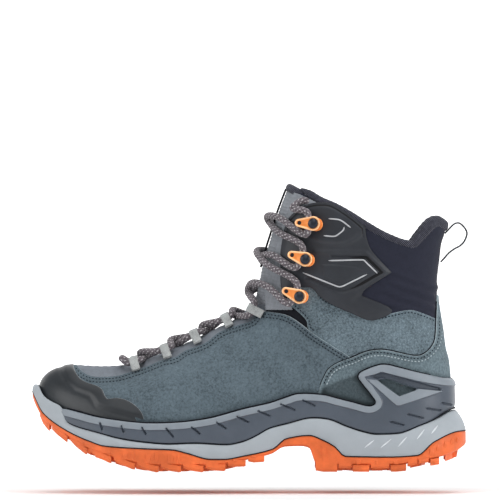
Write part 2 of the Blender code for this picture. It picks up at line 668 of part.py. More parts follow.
def make_hook(name, rivet, tip, side, finishes):
    """A lace hook: a C of plate, open towards the ridge, in the outline of a teardrop."""
    place, normal = side_point(*rivet, side, 1.7)
    ahead = side_point(*tip, side, 1.7)[0] - place
    along = (ahead - normal * ahead.dot(normal)).normalized()
    width = normal.cross(along)
    profile = [(-5.2, 0), (12, 0), (12, 1.1), (3.2, 1.1), (3.2, 7.6), (12.5, 7.6), (13.5, 8.8), (-5.2, 8.8)]
    points = [place + along * a + normal * n + width * w for w in (-4.6, 4.6) for a, n in profile]
    count = len(profile)
    faces = [tuple(range(count)), tuple(range(2 * count - 1, count - 1, -1))]
    faces += [(i, (i + 1) % count, (i + 1) % count + count, i + count) for i in range(count)]
    hook = make_object(name, points, faces, finishes["hook"])
    outline = [(-4.7 * math.cos(a), 4.7 * math.sin(a)) for a in np.linspace(-math.pi / 2, math.pi / 2, 7)]
    outline += [(9.5, 3.4), (13, 2.0), (13, -2.0), (9.5, -3.4)]
    points = [place + along * a + width * w + normal * n for n in (-1, 9.9) for a, w in outline]
    count = len(outline)
    faces = [tuple(range(count)), tuple(range(2 * count - 1, count - 1, -1))]
    faces += [(i, (i + 1) % count, (i + 1) % count + count, i + count) for i in range(count)]
    combine(hook, make_object(name + "_outline", points, faces, finishes["hook"]), "INTERSECT")
    frame = Matrix((along, width, normal)).transposed().to_4x4()
    drill = round_bar(name + "_drill", place + normal * 4, frame, 2.4, 14, finishes["hook"], 8)
    combine(hook, drill, "DIFFERENCE")
    rivet_name = name.replace("hook", "hook_rivet")
    shaft = round_bar(rivet_name, place + normal * 5.2, frame, 2.05, 10, finishes["rivet"], 8)
    head = round_bar(name + "_head", place + normal * 9.85, frame, 3.4, 1.4, finishes["rivet"])
    combine(shaft, head, "UNION")
    return place + along * (3.2 + LACE / 2 + 0.4) + normal * 4.35, width


def round_bar(name, centre, frame, radius, length, finish, sides=12):
    """A short cylinder along the third axis of a frame."""
    points = []
    for end in (-0.5, 0.5):
        for k in range(sides):
            angle = 2 * math.pi * k / sides
            spot = Vector((radius * math.cos(angle), radius * math.sin(angle), end * length))
            points.append(Vector(centre) + frame @ spot)
    faces = [tuple(range(sides))[::-1], tuple(range(sides, 2 * sides))]
    faces += [(k, (k + 1) % sides, (k + 1) % sides + sides, k + sides) for k in range(sides)]
    return make_object(name, points, faces, finish)


def make_loop(name, place, side, finishes):
    """A webbing loop that holds the lace at the edge of a quarter."""
    spot, normal = side_point(*place, side, 0.9)
    inward = Vector((0, -side, 0))
    inward = (inward - normal * inward.dot(normal)).normalized()
    along = normal.cross(inward)
    outline = []
    for radius in (4.5, 3.6):
        bend = [(radius * math.sin(a), 4.1 - radius * math.cos(a)) for a in np.linspace(0, math.pi, 7)]
        arc = [(-7.5, 4.1 - radius), *bend, (-7.5, 4.1 + radius)]
        outline.append(arc if radius > 4 else arc[::-1])
    ring_points = [*outline[0], *outline[1]]
    points = [spot + inward * (a + 4) + normal * (n + 0.45) + along * w
              for w in (-2.8, 2.8) for a, n in ring_points]
    count = len(ring_points)
    half = count // 2
    faces = []
    for i in range(half - 1):
        quad = (i, i + 1, count - 2 - i, count - 1 - i)
        faces += [quad, tuple(k + count for k in quad[::-1])]
    faces += [(i, (i + 1) % count, (i + 1) % count + count, i + count) for i in range(count)]
    make_object(name, points, faces, finishes["webbing"])
    return spot + inward * 4 + normal * 4.55, along


def make_fastening(upper, finishes):
    """The hooks and loops of both sides, and the lace that runs through them."""
    holds = {}
    for side, word in ((-1, "outer"), (1, "inner")):
        hooks = [make_hook(f"lace_hook_{word}_{k}", rivet, tip, side, finishes)
                 for k, (rivet, tip) in enumerate(HOOK_ROWS, 1)]
        loops = [make_loop(f"lace_loop_{word}_{k}", place, side, finishes)
                 for k, place in enumerate(LOOP_ROWS, 1)]
        holds[side] = [*loops[::-1], *hooks[::-1]]
    skin = BVHTree.FromPolygons([Vector(p) for p in upper.points], upper.faces)
    halves = [lace_half(holds, side, skin) for side in (1, -1)]
    start = holds[1][0][0]
    bar = [Vector((start.x - 11.5, y, start.z + 2.4)) for y in (8.5, -1.0, -10.5)]
    points = halves[0][::-1] + bar + halves[1]
    curve = bpy.data.curves.new("lace", "CURVE")
    curve.dimensions = "3D"
    curve.bevel_depth = LACE / 2 * MM
    curve.bevel_resolution = 2
    curve.use_fill_caps = True
    spline = curve.splines.new("POLY")
    spline.points.add(len(points) - 1)
    for spot, point in zip(spline.points, points):
        spot.co = (point.x * MM, (point.y + CENTRE_SHIFT) * MM, point.z * MM, 1)
    lace = bpy.data.objects.new("lace", curve)
    curve.materials.append(finishes["lace"])
    bpy.context.scene.collection.objects.link(lace)
    for word, (end, before) in (("inner", points[:2]), ("outer", points[:-3:-1])):
        run = (end - before).normalized()
        frame = run.to_track_quat("Z", "Y").to_matrix().to_4x4()
        round_bar(f"lace_aglet_{word}", end + run * 10.4, frame, 1.7, 20, finishes["aglet"], 8)


def lace_half(holds, side, skin):
    """Half of the lace's route, from the lowest row to its tip, changing sides at each row."""

    def lifted(point, height):
        place, normal, _, _ = skin.find_nearest(point)
        return place + normal * height

    route = []
    for row in range(len(holds[side])):
        place, direction = holds[side][row]
        hook = row >= len(LOOP_ROWS)
        reach = 7.6 if hook else 5.4
        direction = direction * (reach if direction.z > 0 else -reach)
        route += [place - direction, place + direction]
        if row + 1 == len(holds[side]):
            break
        other = holds[-side][row + 1][0]
        over = 5.6 * ((row + (side > 0)) % 2)
        crossing = lifted((place + other) / 2 + Vector((-8, 0, 8)), 3.5) + Vector((-0.55, 0, 0.83)) * over
        if row + 1 >= len(LOOP_ROWS):
            near, far = ((route[-1] + crossing) / 2, (other + crossing) / 2)
            route += [lifted(near, 5.4 + over / 3), crossing, lifted(far, 5.4 + over / 3)]
        else:
            route.append(crossing)
        side = -side
    route.append(side_point(33, 182, side, 5.2)[0])
    tail = [(36.5, 30.0, 188.5), (42.0, 29.6, 186.5), (47.0, 28.0, 179), (51, 25.5, 169),
            (53, 24.5, 156), (54, 24, 143)]
    return route + [Vector((px, side * py - 1.4, pz)) for px, py, pz in tail]


def make_pull_loop(finishes):
    """The pull loop hangs on an almost upright axis through its two sewn ends."""
    path = np.array(PULL_LOOP)
    tangent = np.gradient(path, axis=0)
    tangent /= np.linalg.norm(tangent, axis=1)[:, None]
    out = np.stack([-tangent[:, 1], tangent[:, 0]], 1) * 0.55
    points, count = [], len(path)
    for k, ((x, z), (ox, oz)) in enumerate(zip(path, out)):
        half = 4.0 - 2.4 * (k in (0, count - 1)) - 0.8 * (k in (1, count - 2))
        for sign, y in ((-1, -half), (-1, half), (1, half), (1, -half)):
            points.append((x + sign * ox, y, z + sign * oz))
    faces = [(3, 2, 1, 0), tuple(4 * count - 4 + k for k in range(4))]
    for i in range(count - 1):
        near, far = 4 * i, 4 * i + 4
        faces += [(near + k, near + (k + 1) % 4, far + (k + 1) % 4, far + k) for k in range(4)]
    loop = make_object("pull_loop", points, faces, finishes["strap"])
    hang(loop, hinge_point("pull_loop_hinge", 138.77, 160.0))


def main():
    for obj in list(bpy.data.objects):
        bpy.data.objects.remove(obj, do_unlink=True)
    finishes = {
        "suede": material("suede", SUEDE, 0.9),
        "cap": material("toe_rubber", CHARCOAL, 0.55),
        "overlay": material("moulded_film", CHARCOAL, 0.5),
        "navy": material("collar_textile", NAVY, 0.85),
        "knit": material("knit", (0.05, 0.05, 0.065), 0.9),
        "foam": material("foam", (0.6, 0.6, 0.55), 0.9),
        "lining": material("lining", (0.03, 0.03, 0.035), 0.9),
        "grey": material("tongue_textile", GREY, 0.85),
        "webbing": material("loop_webbing", (0.46, 0.47, 0.47), 0.85),
        "strap": material("strap_webbing", (0.02, 0.02, 0.025), 0.85),
        "frame": material("frame_plastic", FRAME_GREY, 0.45),
        "midsole": material("midsole_foam", MIDSOLE_GREY, 0.6),
        "rubber": material("orange_rubber", ORANGE, 0.55),
        "plate": material("stiffener_plastic", (0.05, 0.05, 0.05), 0.5),
        "board": material("board", (0.5, 0.4, 0.28), 0.9),
        "footbed": material("footbed_foam", (0.10, 0.10, 0.11), 0.9),
        "hook": material("hook_paint", HOOK_ORANGE, 0.4),
        "rivet": material("rivet_steel", (0.05, 0.05, 0.055), 0.35, 1.0),
        "aglet": material("aglet_plastic", (0.01, 0.01, 0.01), 0.3),
        "lace": material("lace_cord", (0.16, 0.14, 0.15), 0.85),
    }
    make_sole(finishes)
    upper = make_upper(finishes)
    make_frame(finishes)
    make_fastening(upper, finishes)
    make_pull_loop(finishes)


main()
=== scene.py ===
"""Looks of a mid-cut hiking boot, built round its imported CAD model.

The upper is the same loft as in the CAD model, sampled finely, and panels, ridges, stitches and the
lace are laid on it. Lengths are in millimetres here, and become metres where a mesh is made.
"""

import math

import bpy
import numpy as np
from mathutils import Matrix, Vector
from mathutils.bvhtree import BVHTree


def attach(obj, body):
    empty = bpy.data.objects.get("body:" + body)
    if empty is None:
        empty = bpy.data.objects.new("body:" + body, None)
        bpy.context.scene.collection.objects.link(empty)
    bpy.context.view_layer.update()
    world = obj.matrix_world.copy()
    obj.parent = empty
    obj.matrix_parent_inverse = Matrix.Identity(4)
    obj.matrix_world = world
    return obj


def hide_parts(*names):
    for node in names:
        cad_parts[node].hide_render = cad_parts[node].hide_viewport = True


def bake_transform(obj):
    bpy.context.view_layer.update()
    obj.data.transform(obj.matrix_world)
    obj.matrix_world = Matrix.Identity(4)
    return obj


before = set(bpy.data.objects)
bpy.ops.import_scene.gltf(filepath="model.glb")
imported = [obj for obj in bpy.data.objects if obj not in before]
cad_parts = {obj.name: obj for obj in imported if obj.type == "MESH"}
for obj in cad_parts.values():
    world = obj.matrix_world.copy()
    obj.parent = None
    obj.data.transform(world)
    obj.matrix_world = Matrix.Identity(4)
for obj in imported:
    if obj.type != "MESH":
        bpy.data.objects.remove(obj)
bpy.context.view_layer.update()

MM = 0.001
GRID = 1.15  # spacing of the points of most surfaces
FINE = 0.65  # spacing where a surface carries small relief
BODY = "boot"

# ---- the loft, as in the CAD model -------------------------------------------------------------
TOE_X = -148.0
HEEL_X = 139.5
CENTRE_SHIFT = -2.0
LUG = 4.5
LACE = 4.6
TONGUE_HALF = 26.0
SOLE_END = 14  # the station whose base is at the back of the heel

# Ridge x, ridge z, base x, base z of the planes that the upper is lofted through.
STATIONS = (
    (-148, 58, -148, 58),
    (-146.3, 62.7, -146, 53.5),
    (-142, 67.8, -140.5, 48),
    (-134, 71.8, -131, 42),
    (-122, 73.6, -117, 36),
    (-104, 72.8, -98, 30.5),
    (-84, 74, -75, 27.3),
    (-64.6, 80.8, -50, 27.5),
    (-44, 89.4, -24, 30),
    (-23, 99.6, 4, 32.5),
    (-9.4, 106.6, 33, 34.5),
    (-1.6, 113, 62, 35.5),
    (1.7, 119.6, 95, 36.5),
    (3.2, 125.4, 125, 37),
    (4.2, 130.4, 139.5, 38),
    (5.4, 135.9, 140, 62),
    (6.7, 142.3, 136.5, 86),
    (8.7, 150.4, 133.2, 109),
    (11.7, 159.4, 131.6, 130),
    (14.7, 170.4, 133.4, 148),
    (18.8, 182.5, 136.8, 165),
    (23.4, 194.6, 139, 178),
    (28.4, 206.6, 141, 190),
)
FOOT_HALF = (
    (-148, -120, -95, -70, -45, -15, 15, 45, 75, 100, 125, 140),
    (40, 43, 47, 48.5, 46.5, 40.5, 36, 34, 34.5, 35, 34.5, 34),
)
SHAFT_HALF = ((40, 70, 90, 115, 140, 165, 200), (34, 35.5, 36.5, 38.5, 40, 41, 42))
BACK_LINE = (
    (38, 50, 62, 77, 86, 98, 109, 122, 130, 148, 158, 165, 178, 190, 206),
    (139.5, 139.8, 140, 138.8, 136.5, 135, 133.2, 131.6, 131.6, 133.4, 134.6, 136.8, 139, 141, 142),
)
CENTRE_LINE = ((-152, -120, -90, -60, -20, 30, 80, 152), (8, 6.5, 3.5, 1, -1, -1.5, 0, 0))

# Heights along the sole: where the tread stands, and where one layer meets the next.
GROUND_LINE = (
    (-153, -148, -143, -137, -126, -115, -98, -81, -66, -25, -9, 14, 25, 36, 41, 46.5, 103, 115,
     131, 143, 152),
    (47, 37, 30, 26, 19.5, 12.6, 6.6, 2, 0, 0, 2.8, 8.4, 13, 13.3, 12, 0, 0, 2.8, 5.5, 9, 14),
)
OUTSOLE_LINE = (
    (-153, -150, -144.5, -133, -122, -111, -101, -72, -54, -44, -27.5, -18, -5, 16, 25, 41, 51, 59,
     66, 95, 116, 128, 146, 152),
    (56, 50, 40.2, 31.2, 25.2, 20.7, 17.6, 15.8, 15.1, 12.8, 8.5, 8.4, 10.5, 15.5, 22.5, 24.8, 21.3,
     16.8, 10.3, 9.8, 10.9, 20.3, 27.3, 27.5),
)
FRAME_LINE = (
    (-132, -126.6, -121, -105, -90, -72, -56, -38.7, -16.3, -5, 4, 13.8, 25, 43.8, 53, 67, 77.5, 88,
     102, 118, 130, 141, 152),
    (44.8, 34, 31.2, 26.8, 22.9, 20.3, 19.2, 19.7, 18.6, 20.7, 24.6, 30, 32.9, 37.1, 36.4, 31.2,
     27.7, 25.7, 26.2, 31.7, 36.4, 41.6, 43),
)
RIM_LINE = ((-153, -148, -144.5, -139, -132, -126), (60, 59, 52.5, 48.5, 45, 34))

# ---- outlines of the panels, as seen from the side; a doubled point is a corner ------------------
TOE_CAP_REAR = (
    (-124.5, 80), (-122.9, 71.5), (-118.9, 65), (-114, 62), (-106, 59.3), (-102.4, 56.7),
    (-100.7, 53), (-98.9, 50.6), (-98.9, 50.6), (-92, 51.3), (-85.3, 49.7), (-78.6, 45.5),
    (-74, 39.2), (-71.5, 20),
)
THROAT_EDGE = (
    (-125, 80), (-119.9, 72.3), (-115, 68.3), (-109, 66.2), (-99, 66.2), (-90.5, 67.2), (-82, 69.9),
    (-74.4, 72.3), (-61, 77.7), (-52.7, 79.5), (-45.2, 84.3), (-31.3, 89.6), (-21.4, 97.2),
    (-7.5, 102.3), (1.4, 105.4), (4.4, 111.6), (4.4, 111.6), (14, 110.9), (25.5, 108.7),
    (35.5, 102.6), (44.5, 95.5), (70.4, 79.1),
)
HEEL_FRONT = ((70.4, 79.1), (61, 75.6), (54.7, 71.4), (51.5, 66), (49, 60.2), (47, 50), (46, 20))
HEEL_TOP = (
    (70.4, 79.1), (81.5, 83.6), (92.7, 84.7), (112.8, 80.7), (119.5, 81), (126, 86), (129, 92),
    (130, 105), (131, 122.5), (131, 122.5), (150, 122.5),
)
ANKLE_TOP = (
    (20.2, 140), (20.2, 140), (32, 136), (42.6, 132), (47.3, 127.3), (50.9, 121.4), (55.8, 118.6),
    (70.5, 112.4), (85.2, 107.2), (85.2, 107.2), (98, 110), (111.8, 112.4), (121, 110), (131, 106),
)
ANKLE_FRONT = ((44.5, 95.5), (40.2, 99.4), (39, 104.8), (32, 112), (22.7, 119.4), (20, 129.5))
OVERLAY = (
    (24, 118), (21.2, 130), (21, 140), (20.8, 150), (22.4, 162), (24.6, 171.8), (27.4, 177),
    (32.6, 182), (39, 185.6), (48, 187.2), (57, 186.2), (68, 179.6), (76, 173.4), (80, 169.8),
    (80, 169.8), (81, 162), (84.5, 153.5), (98.5, 138.4), (98.5, 138.4), (80, 126.5), (77.5, 122.5),
    (77.5, 122.5), (99, 112), (85.2, 105), (70.5, 110), (55, 117), (48, 122), (42, 128), (30, 128),
)
COLLAR_TOP = (
    (31, 201), (36, 198.8), (47.4, 191.8), (58.6, 186.9), (70, 180.6), (81, 173.6), (92, 167.3),
    (103.4, 162.4), (109, 161), (114.6, 161), (120, 166.6), (126, 173.6), (131.4, 177.6), (146, 179),
)
TOE_FOLD = (
    (-134, 90), (-131, 74), (-129.7, 69.2), (-126, 62.7), (-121, 57.9), (-110.8, 54.3), (-108, 51),
    (-105.5, 46.5), (-96, 43.6), (-84, 40.6), (-70, 36), (-60, 36), (-60, 90),
)
FRAME_EDGE = (
    (-127, 43.4), (-116, 40.6), (-105.4, 37.9), (-94, 36), (-83, 34.6), (-69.7, 33.7), (-50, 34.3),
    (-38, 35.6), (-27.5, 37.4), (-16, 40.4), (-5, 43.5), (13.8, 47.7), (25, 51.5), (33.4, 53.9),
    (50.8, 53.2), (60, 50.9), (71.6, 48), (83, 45.3), (87.5, 47.4), (86.5, 50.8), (75.6, 65),
    (75.8, 67.8), (79, 70.2), (90, 74.2), (95, 74.3), (99.5, 73.3), (118, 68.3), (132, 65.4),
    (139.5, 64.6),
)
FRAME_WINDOW = ((88.5, 63.5), (94.9, 64.9), (116, 57.2), (103.4, 52.4))

HOOK_ROWS = (((46.7, 171.5), (33.3, 171.9)), ((41, 146.9), (27.9, 151.2)), ((36.6, 121.6), (23, 127.3)))
LOOP_ROWS = ((6.5, 110.2), (-14.5, 101.6), (-36.5, 90.2), (-57.5, 79.8), (-79.5, 71.0))
PULL_LOOP = (
    (136.4, 165.6), (138.6, 168), (143.2, 172.4), (147, 172.6), (151.7, 166.6), (150.2, 160.6), (147, 157),
    (143, 154.8), (139, 151.8), (136.2, 148.6), (133.4, 145.6),
)


# ---- small tools -------------------------------------------------------------------------------
def line(table, at):
    """The smooth monotone curve through (places, values), read at one or many places."""
    xs, ys = np.asarray(table[0], float), np.asarray(table[1], float)
    steps = np.diff(xs)
    slope = np.diff(ys) / steps
    lean = np.zeros_like(ys)
    product = slope[:-1] * slope[1:]
    lean[1:-1] = np.where(product > 0, 2 * product / np.where(product > 0, slope[:-1] + slope[1:], 1), 0)
    lean[0], lean[-1] = slope[0], slope[-1]
    at = np.clip(np.asarray(at, float), xs[0], xs[-1])
    k = np.clip(np.searchsorted(xs, at) - 1, 0, len(steps) - 1)
    s = (at - xs[k]) / steps[k]
    start = ys[k] * (1 + 2 * s) * (1 - s) ** 2 + lean[k] * steps[k] * s * (1 - s) ** 2
    return start + ys[k + 1] * s * s * (3 - 2 * s) + lean[k + 1] * steps[k] * s * s * (s - 1)


def smooth(low, high, value):
    s = np.clip((np.asarray(value, float) - low) / (high - low), 0, 1)
    return s * s * (3 - 2 * s)


def rounded(distance, reach, power):
    """Rises from 0 at an edge to 1 at reach from it, as a rounded corner does."""
    s = np.clip(distance / reach, 0, 1)
    return np.sqrt(1 - (1 - s) ** power)


def bell(distance, width):
    return np.exp(-((distance / width) ** 2))


def curved(points, pieces=4):
    """A smooth line through points of any dimension, with a corner at each doubled point."""
    points = [np.array(p, float) for p in points]
    runs, run = [], [points[0]]
    for p in points[1:]:
        if np.allclose(p, run[-1]):
            if len(run) > 1:
                runs.append(run)
            run = [p]
        else:
            run.append(p)
    if len(run) > 1:
        runs.append(run)
    made = [runs[0][0]]
    for run in runs:
        ends = [2 * run[0] - run[1], *run, 2 * run[-1] - run[-2]]
        for a, b, c, d in zip(ends, ends[1:], ends[2:], ends[3:]):
            reach = max(np.linalg.norm(c - b), 1e-6)
            start = (c - a) * reach / max(np.linalg.norm(c - b) + np.linalg.norm(b - a), 1e-6)
            end = (d - b) * reach / max(np.linalg.norm(d - c) + np.linalg.norm(c - b), 1e-6)
            for k in range(1, pieces + 1):
                s = k / pieces
                made.append(b * (1 + 2 * s) * (1 - s) ** 2 + start * s * (1 - s) ** 2
                            + c * s * s * (3 - 2 * s) + end * s * s * (s - 1))
    return np.array(made)


def even(path, spacing):
    """The path's points again, evenly spaced along it."""
    path = np.asarray(path, float)
    along = np.concatenate([[0], np.cumsum(np.linalg.norm(np.diff(path, axis=0), axis=1))])
    at = np.linspace(0, along[-1], max(2, round(along[-1] / spacing) + 1))
    return np.stack([np.interp(at, along, path[:, k]) for k in range(path.shape[1])], 1)


def near(path, x, z):
    """Distance in the side view to an open line."""
    x, z = np.atleast_1d(x), np.atleast_1d(z)
    nearest = np.full(x.shape, 1e9)
    for (ax, az), (bx, bz) in zip(path[:-1], path[1:]):
        dx, dz = bx - ax, bz - az
        t = np.clip(((x - ax) * dx + (z - az) * dz) / max(dx * dx + dz * dz, 1e-9), 0, 1)
        nearest = np.minimum(nearest, np.hypot(x - ax - t * dx, z - az - t * dz))
    return nearest


def inside(outline, x, z):
    """Signed distance to a closed outline in the side view, positive inside it."""
    outline = np.asarray(outline, float)
    result = np.full(x.shape, -9.0)
    low, high = outline.min(0) - 8, outline.max(0) + 8
    close = (x > low[0]) & (x < high[0]) & (z > low[1]) & (z < high[1])
    px, pz = x[close], z[close]
    within = np.zeros(px.shape, bool)
    loop = np.vstack([outline, outline[:1]])
    for (ax, az), (bx, bz) in zip(loop[:-1], loop[1:]):
        if az != bz:
            within ^= ((az > pz) != (bz > pz)) & (px < ax + (pz - az) / (bz - az) * (bx - ax))
    distance = near(loop, px, pz)
    result[close] = np.where(within, distance, -distance)
    return result


# ---- the surface of the upper ------------------------------------------------------------------
def plane_at(u):
    """The plane at u: ridge x, ridge z, base x, base z. Past the sole its base is on the back line."""
    table = np.array(STATIONS, float)
    rx, rz, bx, bz = (line((np.arange(len(table)), table[:, k]), u) for k in range(4))
    return rx, rz, np.where(np.asarray(u) >= SOLE_END, line(BACK_LINE, bz), bx), bz


def half_width(x, z, below_ridge, section):
    body = line(FOOT_HALF, x)
    body = body + (line(SHAFT_HALF, z) - body) * smooth(55, 115, z)
    front = rounded(below_ridge, np.clip(0.92 * section, 1e-6, 55), 2.1)
    back = rounded(np.maximum(line(BACK_LINE, z) - x, 0), 42 + 13 * smooth(60, 130, z), 2.25)
    return body * front * back * rounded(x - TOE_X, 60, 2.2)


def centre(x):
    return line(CENTRE_LINE, x)


def upper_points(u, v):
    """Points of the outer surface: v is 0 on the ridge, -1 and 1 at the base on either side."""
    rx, rz, bx, bz = plane_at(u)
    closed = smooth(11, 14.5, u)
    t = (1 - closed) * (1 - np.cos(np.pi / 2 * abs(v))) + closed * np.sin(np.pi / 2 * abs(v)) ** 2
    x, z = rx + (bx - rx) * t, rz + (bz - rz) * t
    section = np.hypot(bx - rx, bz - rz) + 0 * v
    return np.stack([x, centre(x) + np.sign(v) * half_width(x, z, t * section, section), z], -1)


class Sheet:
    """A triangulated surface with an outward direction at each point."""

    def __init__(self, points, faces, normals=None):
        self.points, self.faces = points, faces
        self.normals = self.own_normals() if normals is None else normals

    def own_normals(self):
        corners = self.points[self.faces]
        cross = np.cross(corners[:, 1] - corners[:, 0], corners[:, 2] - corners[:, 0])
        normals = np.zeros_like(self.points)
        for k in range(3):
            np.add.at(normals, self.faces[:, k], cross)
        return normals / np.maximum(np.linalg.norm(normals, axis=1), 1e-12)[:, None]

    def split(self, value):
        """The same sheet with points added where value is 0, and value at all its points."""
        value = np.where(abs(value) < 0.03, np.where(value < 0, -0.03, 0.03), value)
        above = value[self.faces] > 0
        total = above.sum(1)
        mixed = (total == 1) | (total == 2)
        odd = np.where(total == 1, above.argmax(1), (~above).argmax(1))[mixed]
        rows = self.faces[mixed]
        a, b, c = (rows[np.arange(len(rows)), (odd + k) % 3] for k in range(3))
        pairs = np.sort(np.concatenate([np.stack([a, b], 1), np.stack([a, c], 1)]), axis=1)
        edges, index = np.unique(pairs, axis=0, return_inverse=True)
        index = index.reshape(-1) + len(self.points)
        p, q = index[: len(rows)], index[len(rows):]
        t = (value[edges[:, 0]] / (value[edges[:, 0]] - value[edges[:, 1]]))[:, None]
        points = self.points[edges[:, 0]] * (1 - t) + self.points[edges[:, 1]] * t
        normals = self.normals[edges[:, 0]] * (1 - t) + self.normals[edges[:, 1]] * t
        normals /= np.linalg.norm(normals, axis=1)[:, None]
        faces = np.concatenate([self.faces[~mixed], np.stack([a, p, q], 1), np.stack([p, b, c], 1),
                                np.stack([p, c, q], 1)])
        sheet = Sheet(np.concatenate([self.points, points]), faces, np.concatenate([self.normals, normals]))
        return sheet, np.concatenate([value, np.zeros(len(edges))])

    def keep(self, value):
        """The part where value is above 0, without loose crumbs."""
        sheet, value = self.split(value)
        faces = sheet.faces[value[sheet.faces].sum(1) > 0]
        return Sheet(sheet.points, main_part(faces), sheet.normals).packed()

    def packed(self):
        used, faces = np.unique(self.faces, return_inverse=True)
        return Sheet(self.points[used], faces.reshape(-1, 3), self.normals[used])

    def rim(self):
        """The edges that only one triangle has, in that triangle's direction."""
        edges = np.concatenate([self.faces[:, [0, 1]], self.faces[:, [1, 2]], self.faces[:, [2, 0]]])
        seen = {tuple(e) for e in edges.tolist()}
        return np.array([e for e in edges.tolist() if (e[1], e[0]) not in seen])

    def mirrored(self):
        """The same sheet on the other side of the boot's centre line."""
        flip = np.array([1.0, -1.0, 1.0])
        points = self.points * flip
        points[:, 1] += 2 * centre(self.points[:, 0])
        return Sheet(points, self.faces[:, ::-1], self.normals * flip)


def main_part(faces):
    """The triangles of the biggest piece that hangs together."""
    label = np.arange(faces.max() + 1)
    while True:
        low = label[faces].min(1)
        fresh = label.copy()
        for k in range(3):
            np.minimum.at(fresh, faces[:, k], low)
        fresh = fresh[fresh]
        if np.array_equal(fresh, label):
            break
        label = fresh
    owner = label[faces[:, 0]]
    names, counts = np.unique(owner, return_counts=True)
    return faces[owner == names[counts.argmax()]]


def grid_sheet(rows):
    """A sheet through equally long rows of points."""
    rows = np.asarray(rows, float)
    flat = rows.reshape(-1, 3)
    _, first, index = np.unique(np.round(flat, 3), axis=0, return_index=True, return_inverse=True)
    index = index.reshape(rows.shape[:2])
    a, b, c, d = index[:-1, :-1], index[:-1, 1:], index[1:, 1:], index[1:, :-1]
    half = np.zeros(a.shape, bool)
    half[:, : a.shape[1] // 2] = True
    quads = [np.stack(k, -1)[half] for k in ((a, b, c), (a, c, d))]
    quads += [np.stack(k, -1)[~half] for k in ((a, b, d), (b, c, d))]
    faces = np.concatenate(quads)
    different = (faces[:, 0] != faces[:, 1]) & (faces[:, 1] != faces[:, 2]) & (faces[:, 0] != faces[:, 2])
    return Sheet(flat[first], faces[different])


def loft(start=0, end=len(STATIONS) - 1, side_from=-1.0, side_to=1.0, grid=GRID):
    """The upper's surface between two stations, at a chosen spacing."""
    table = np.array(STATIONS, float)
    places = []
    for k in range(start, end):
        reach = max(np.hypot(*(table[k + 1] - table[k])[:2]), np.hypot(*(table[k + 1] - table[k])[2:]))
        count = max(2, math.ceil(reach / grid))
        places += [k + j / count for j in range(count)]
    u = np.array([*places, end])[:, None]
    count = math.ceil(118 / grid * (side_to - side_from))
    v = np.linspace(side_to, side_from, count + 1)[None, :]
    return grid_sheet(upper_points(u, v))


UPPER = loft()
SKIN = BVHTree.FromPolygons([Vector(p) for p in UPPER.points], UPPER.faces.tolist())


def on_side(x, z, side, lift=0.0):
    """The point and outward direction of the upper's surface at a place in the side view."""
    hit, normal, _, _ = SKIN.ray_cast(Vector((x, side * 160, z)), Vector((0, -side, 0)))
    if hit is None:
        hit, normal, _, _ = SKIN.find_nearest(Vector((x, float(centre(x)) + side * 25, z)))
    if normal.y * side < 0:
        normal = -normal
    return hit + normal * lift, normal




# ---- making pieces -----------------------------------------------------------------------------
def make_mesh(name, points, faces, finishes, which=None, sharp=38, attributes=None):
    """A piece from points in millimetres. which gives each face's finish."""
    mesh = bpy.data.meshes.new(name)
    points = (np.asarray(points, float) + (0, CENTRE_SHIFT, 0)) * MM
    mesh.from_pydata(points.tolist(), [], [tuple(map(int, f)) for f in faces])
    for finish in finishes:
        mesh.materials.append(finish)
    if which is not None:
        mesh.polygons.foreach_set("material_index", np.asarray(which, np.int32))
    for key, values in (attributes or {}).items():
        mesh.attributes.new(key, "FLOAT", "POINT").data.foreach_set("value", np.asarray(values, np.float32))
    mesh.shade_smooth()
    mesh.set_sharp_from_angle(angle=math.radians(sharp))
    mesh.update()
    obj = bpy.data.objects.new(name, mesh)
    bpy.context.scene.collection.objects.link(obj)
    return obj


def place(obj, slot, *nodes, body=BODY):
    """Hangs the piece on the body that it rides on and hides the CAD nodes that it stands for. slot is not used."""
    if body:
        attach(obj, body)
    if nodes:
        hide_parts(*nodes)
    return obj


def thick(name, sheet, low, high, finishes, which=None, sharp=38, shade=None):
    """A closed piece between two depths from a sheet, low < high, in millimetres. shade is painted shade that darkens
    suede.
    """
    count = len(sheet.points)
    faces = sheet.faces
    low, high = np.broadcast_to(low, count), np.broadcast_to(high, count)
    both = np.concatenate([sheet.points + sheet.normals * high[:, None],
                           sheet.points + sheet.normals * low[:, None]])
    rim = [(b, a, a + count, b + count) for a, b in sheet.rim()]
    whole = [*map(tuple, faces.tolist()), *map(tuple, (faces[:, ::-1] + count).tolist()), *rim]
    kinds = np.zeros(len(whole), int)
    if which is not None:
        kinds[: len(faces)] = which
        kinds[len(faces):] = which.max()
    attributes = None if shade is None else {"shade": np.tile(shade, 2)}
    return make_mesh(name, both, whole, finishes, kinds, sharp, attributes)


def panel(name, sheet, field, low, high, finishes, edge_band=0.3, soft=1.0, drop=0.55, paint=None, shade=None):
    """A panel with a rounded edge. Its cut face, and where paint is above 0, has the second finish."""
    sheet = sheet.keep(field(sheet.points))
    for level in (edge_band, soft):
        sheet, _ = sheet.split(field(sheet.points) - level)
    if paint:
        sheet, _ = sheet.split(paint(sheet.points))
    edge = np.maximum(field(sheet.points), 0)
    edge[np.unique(sheet.rim())] = 0
    top = high(sheet.points) if callable(high) else high
    top = top - drop * (1 - rounded(edge, soft, 2.2))
    bottom = low(sheet.points) if callable(low) else low
    cut = edge[sheet.faces].mean(1) < edge_band * 0.7
    if paint:
        cut |= paint(sheet.points[sheet.faces].mean(1)) > 0
    # painted shade for the suede, from the shade function
    dark = shade(sheet.points, edge) if shade else None
    return thick(name, sheet, bottom, top, finishes, cut.astype(int) if len(finishes) > 1 else None, shade=dark)


def within(*outlines, margin=0.0):
    return lambda p: np.max([inside(o, p[:, 0], p[:, 2]) for o in outlines], axis=0) - margin


def both(*fields):
    return lambda p: np.min([field(p) for field in fields], axis=0)


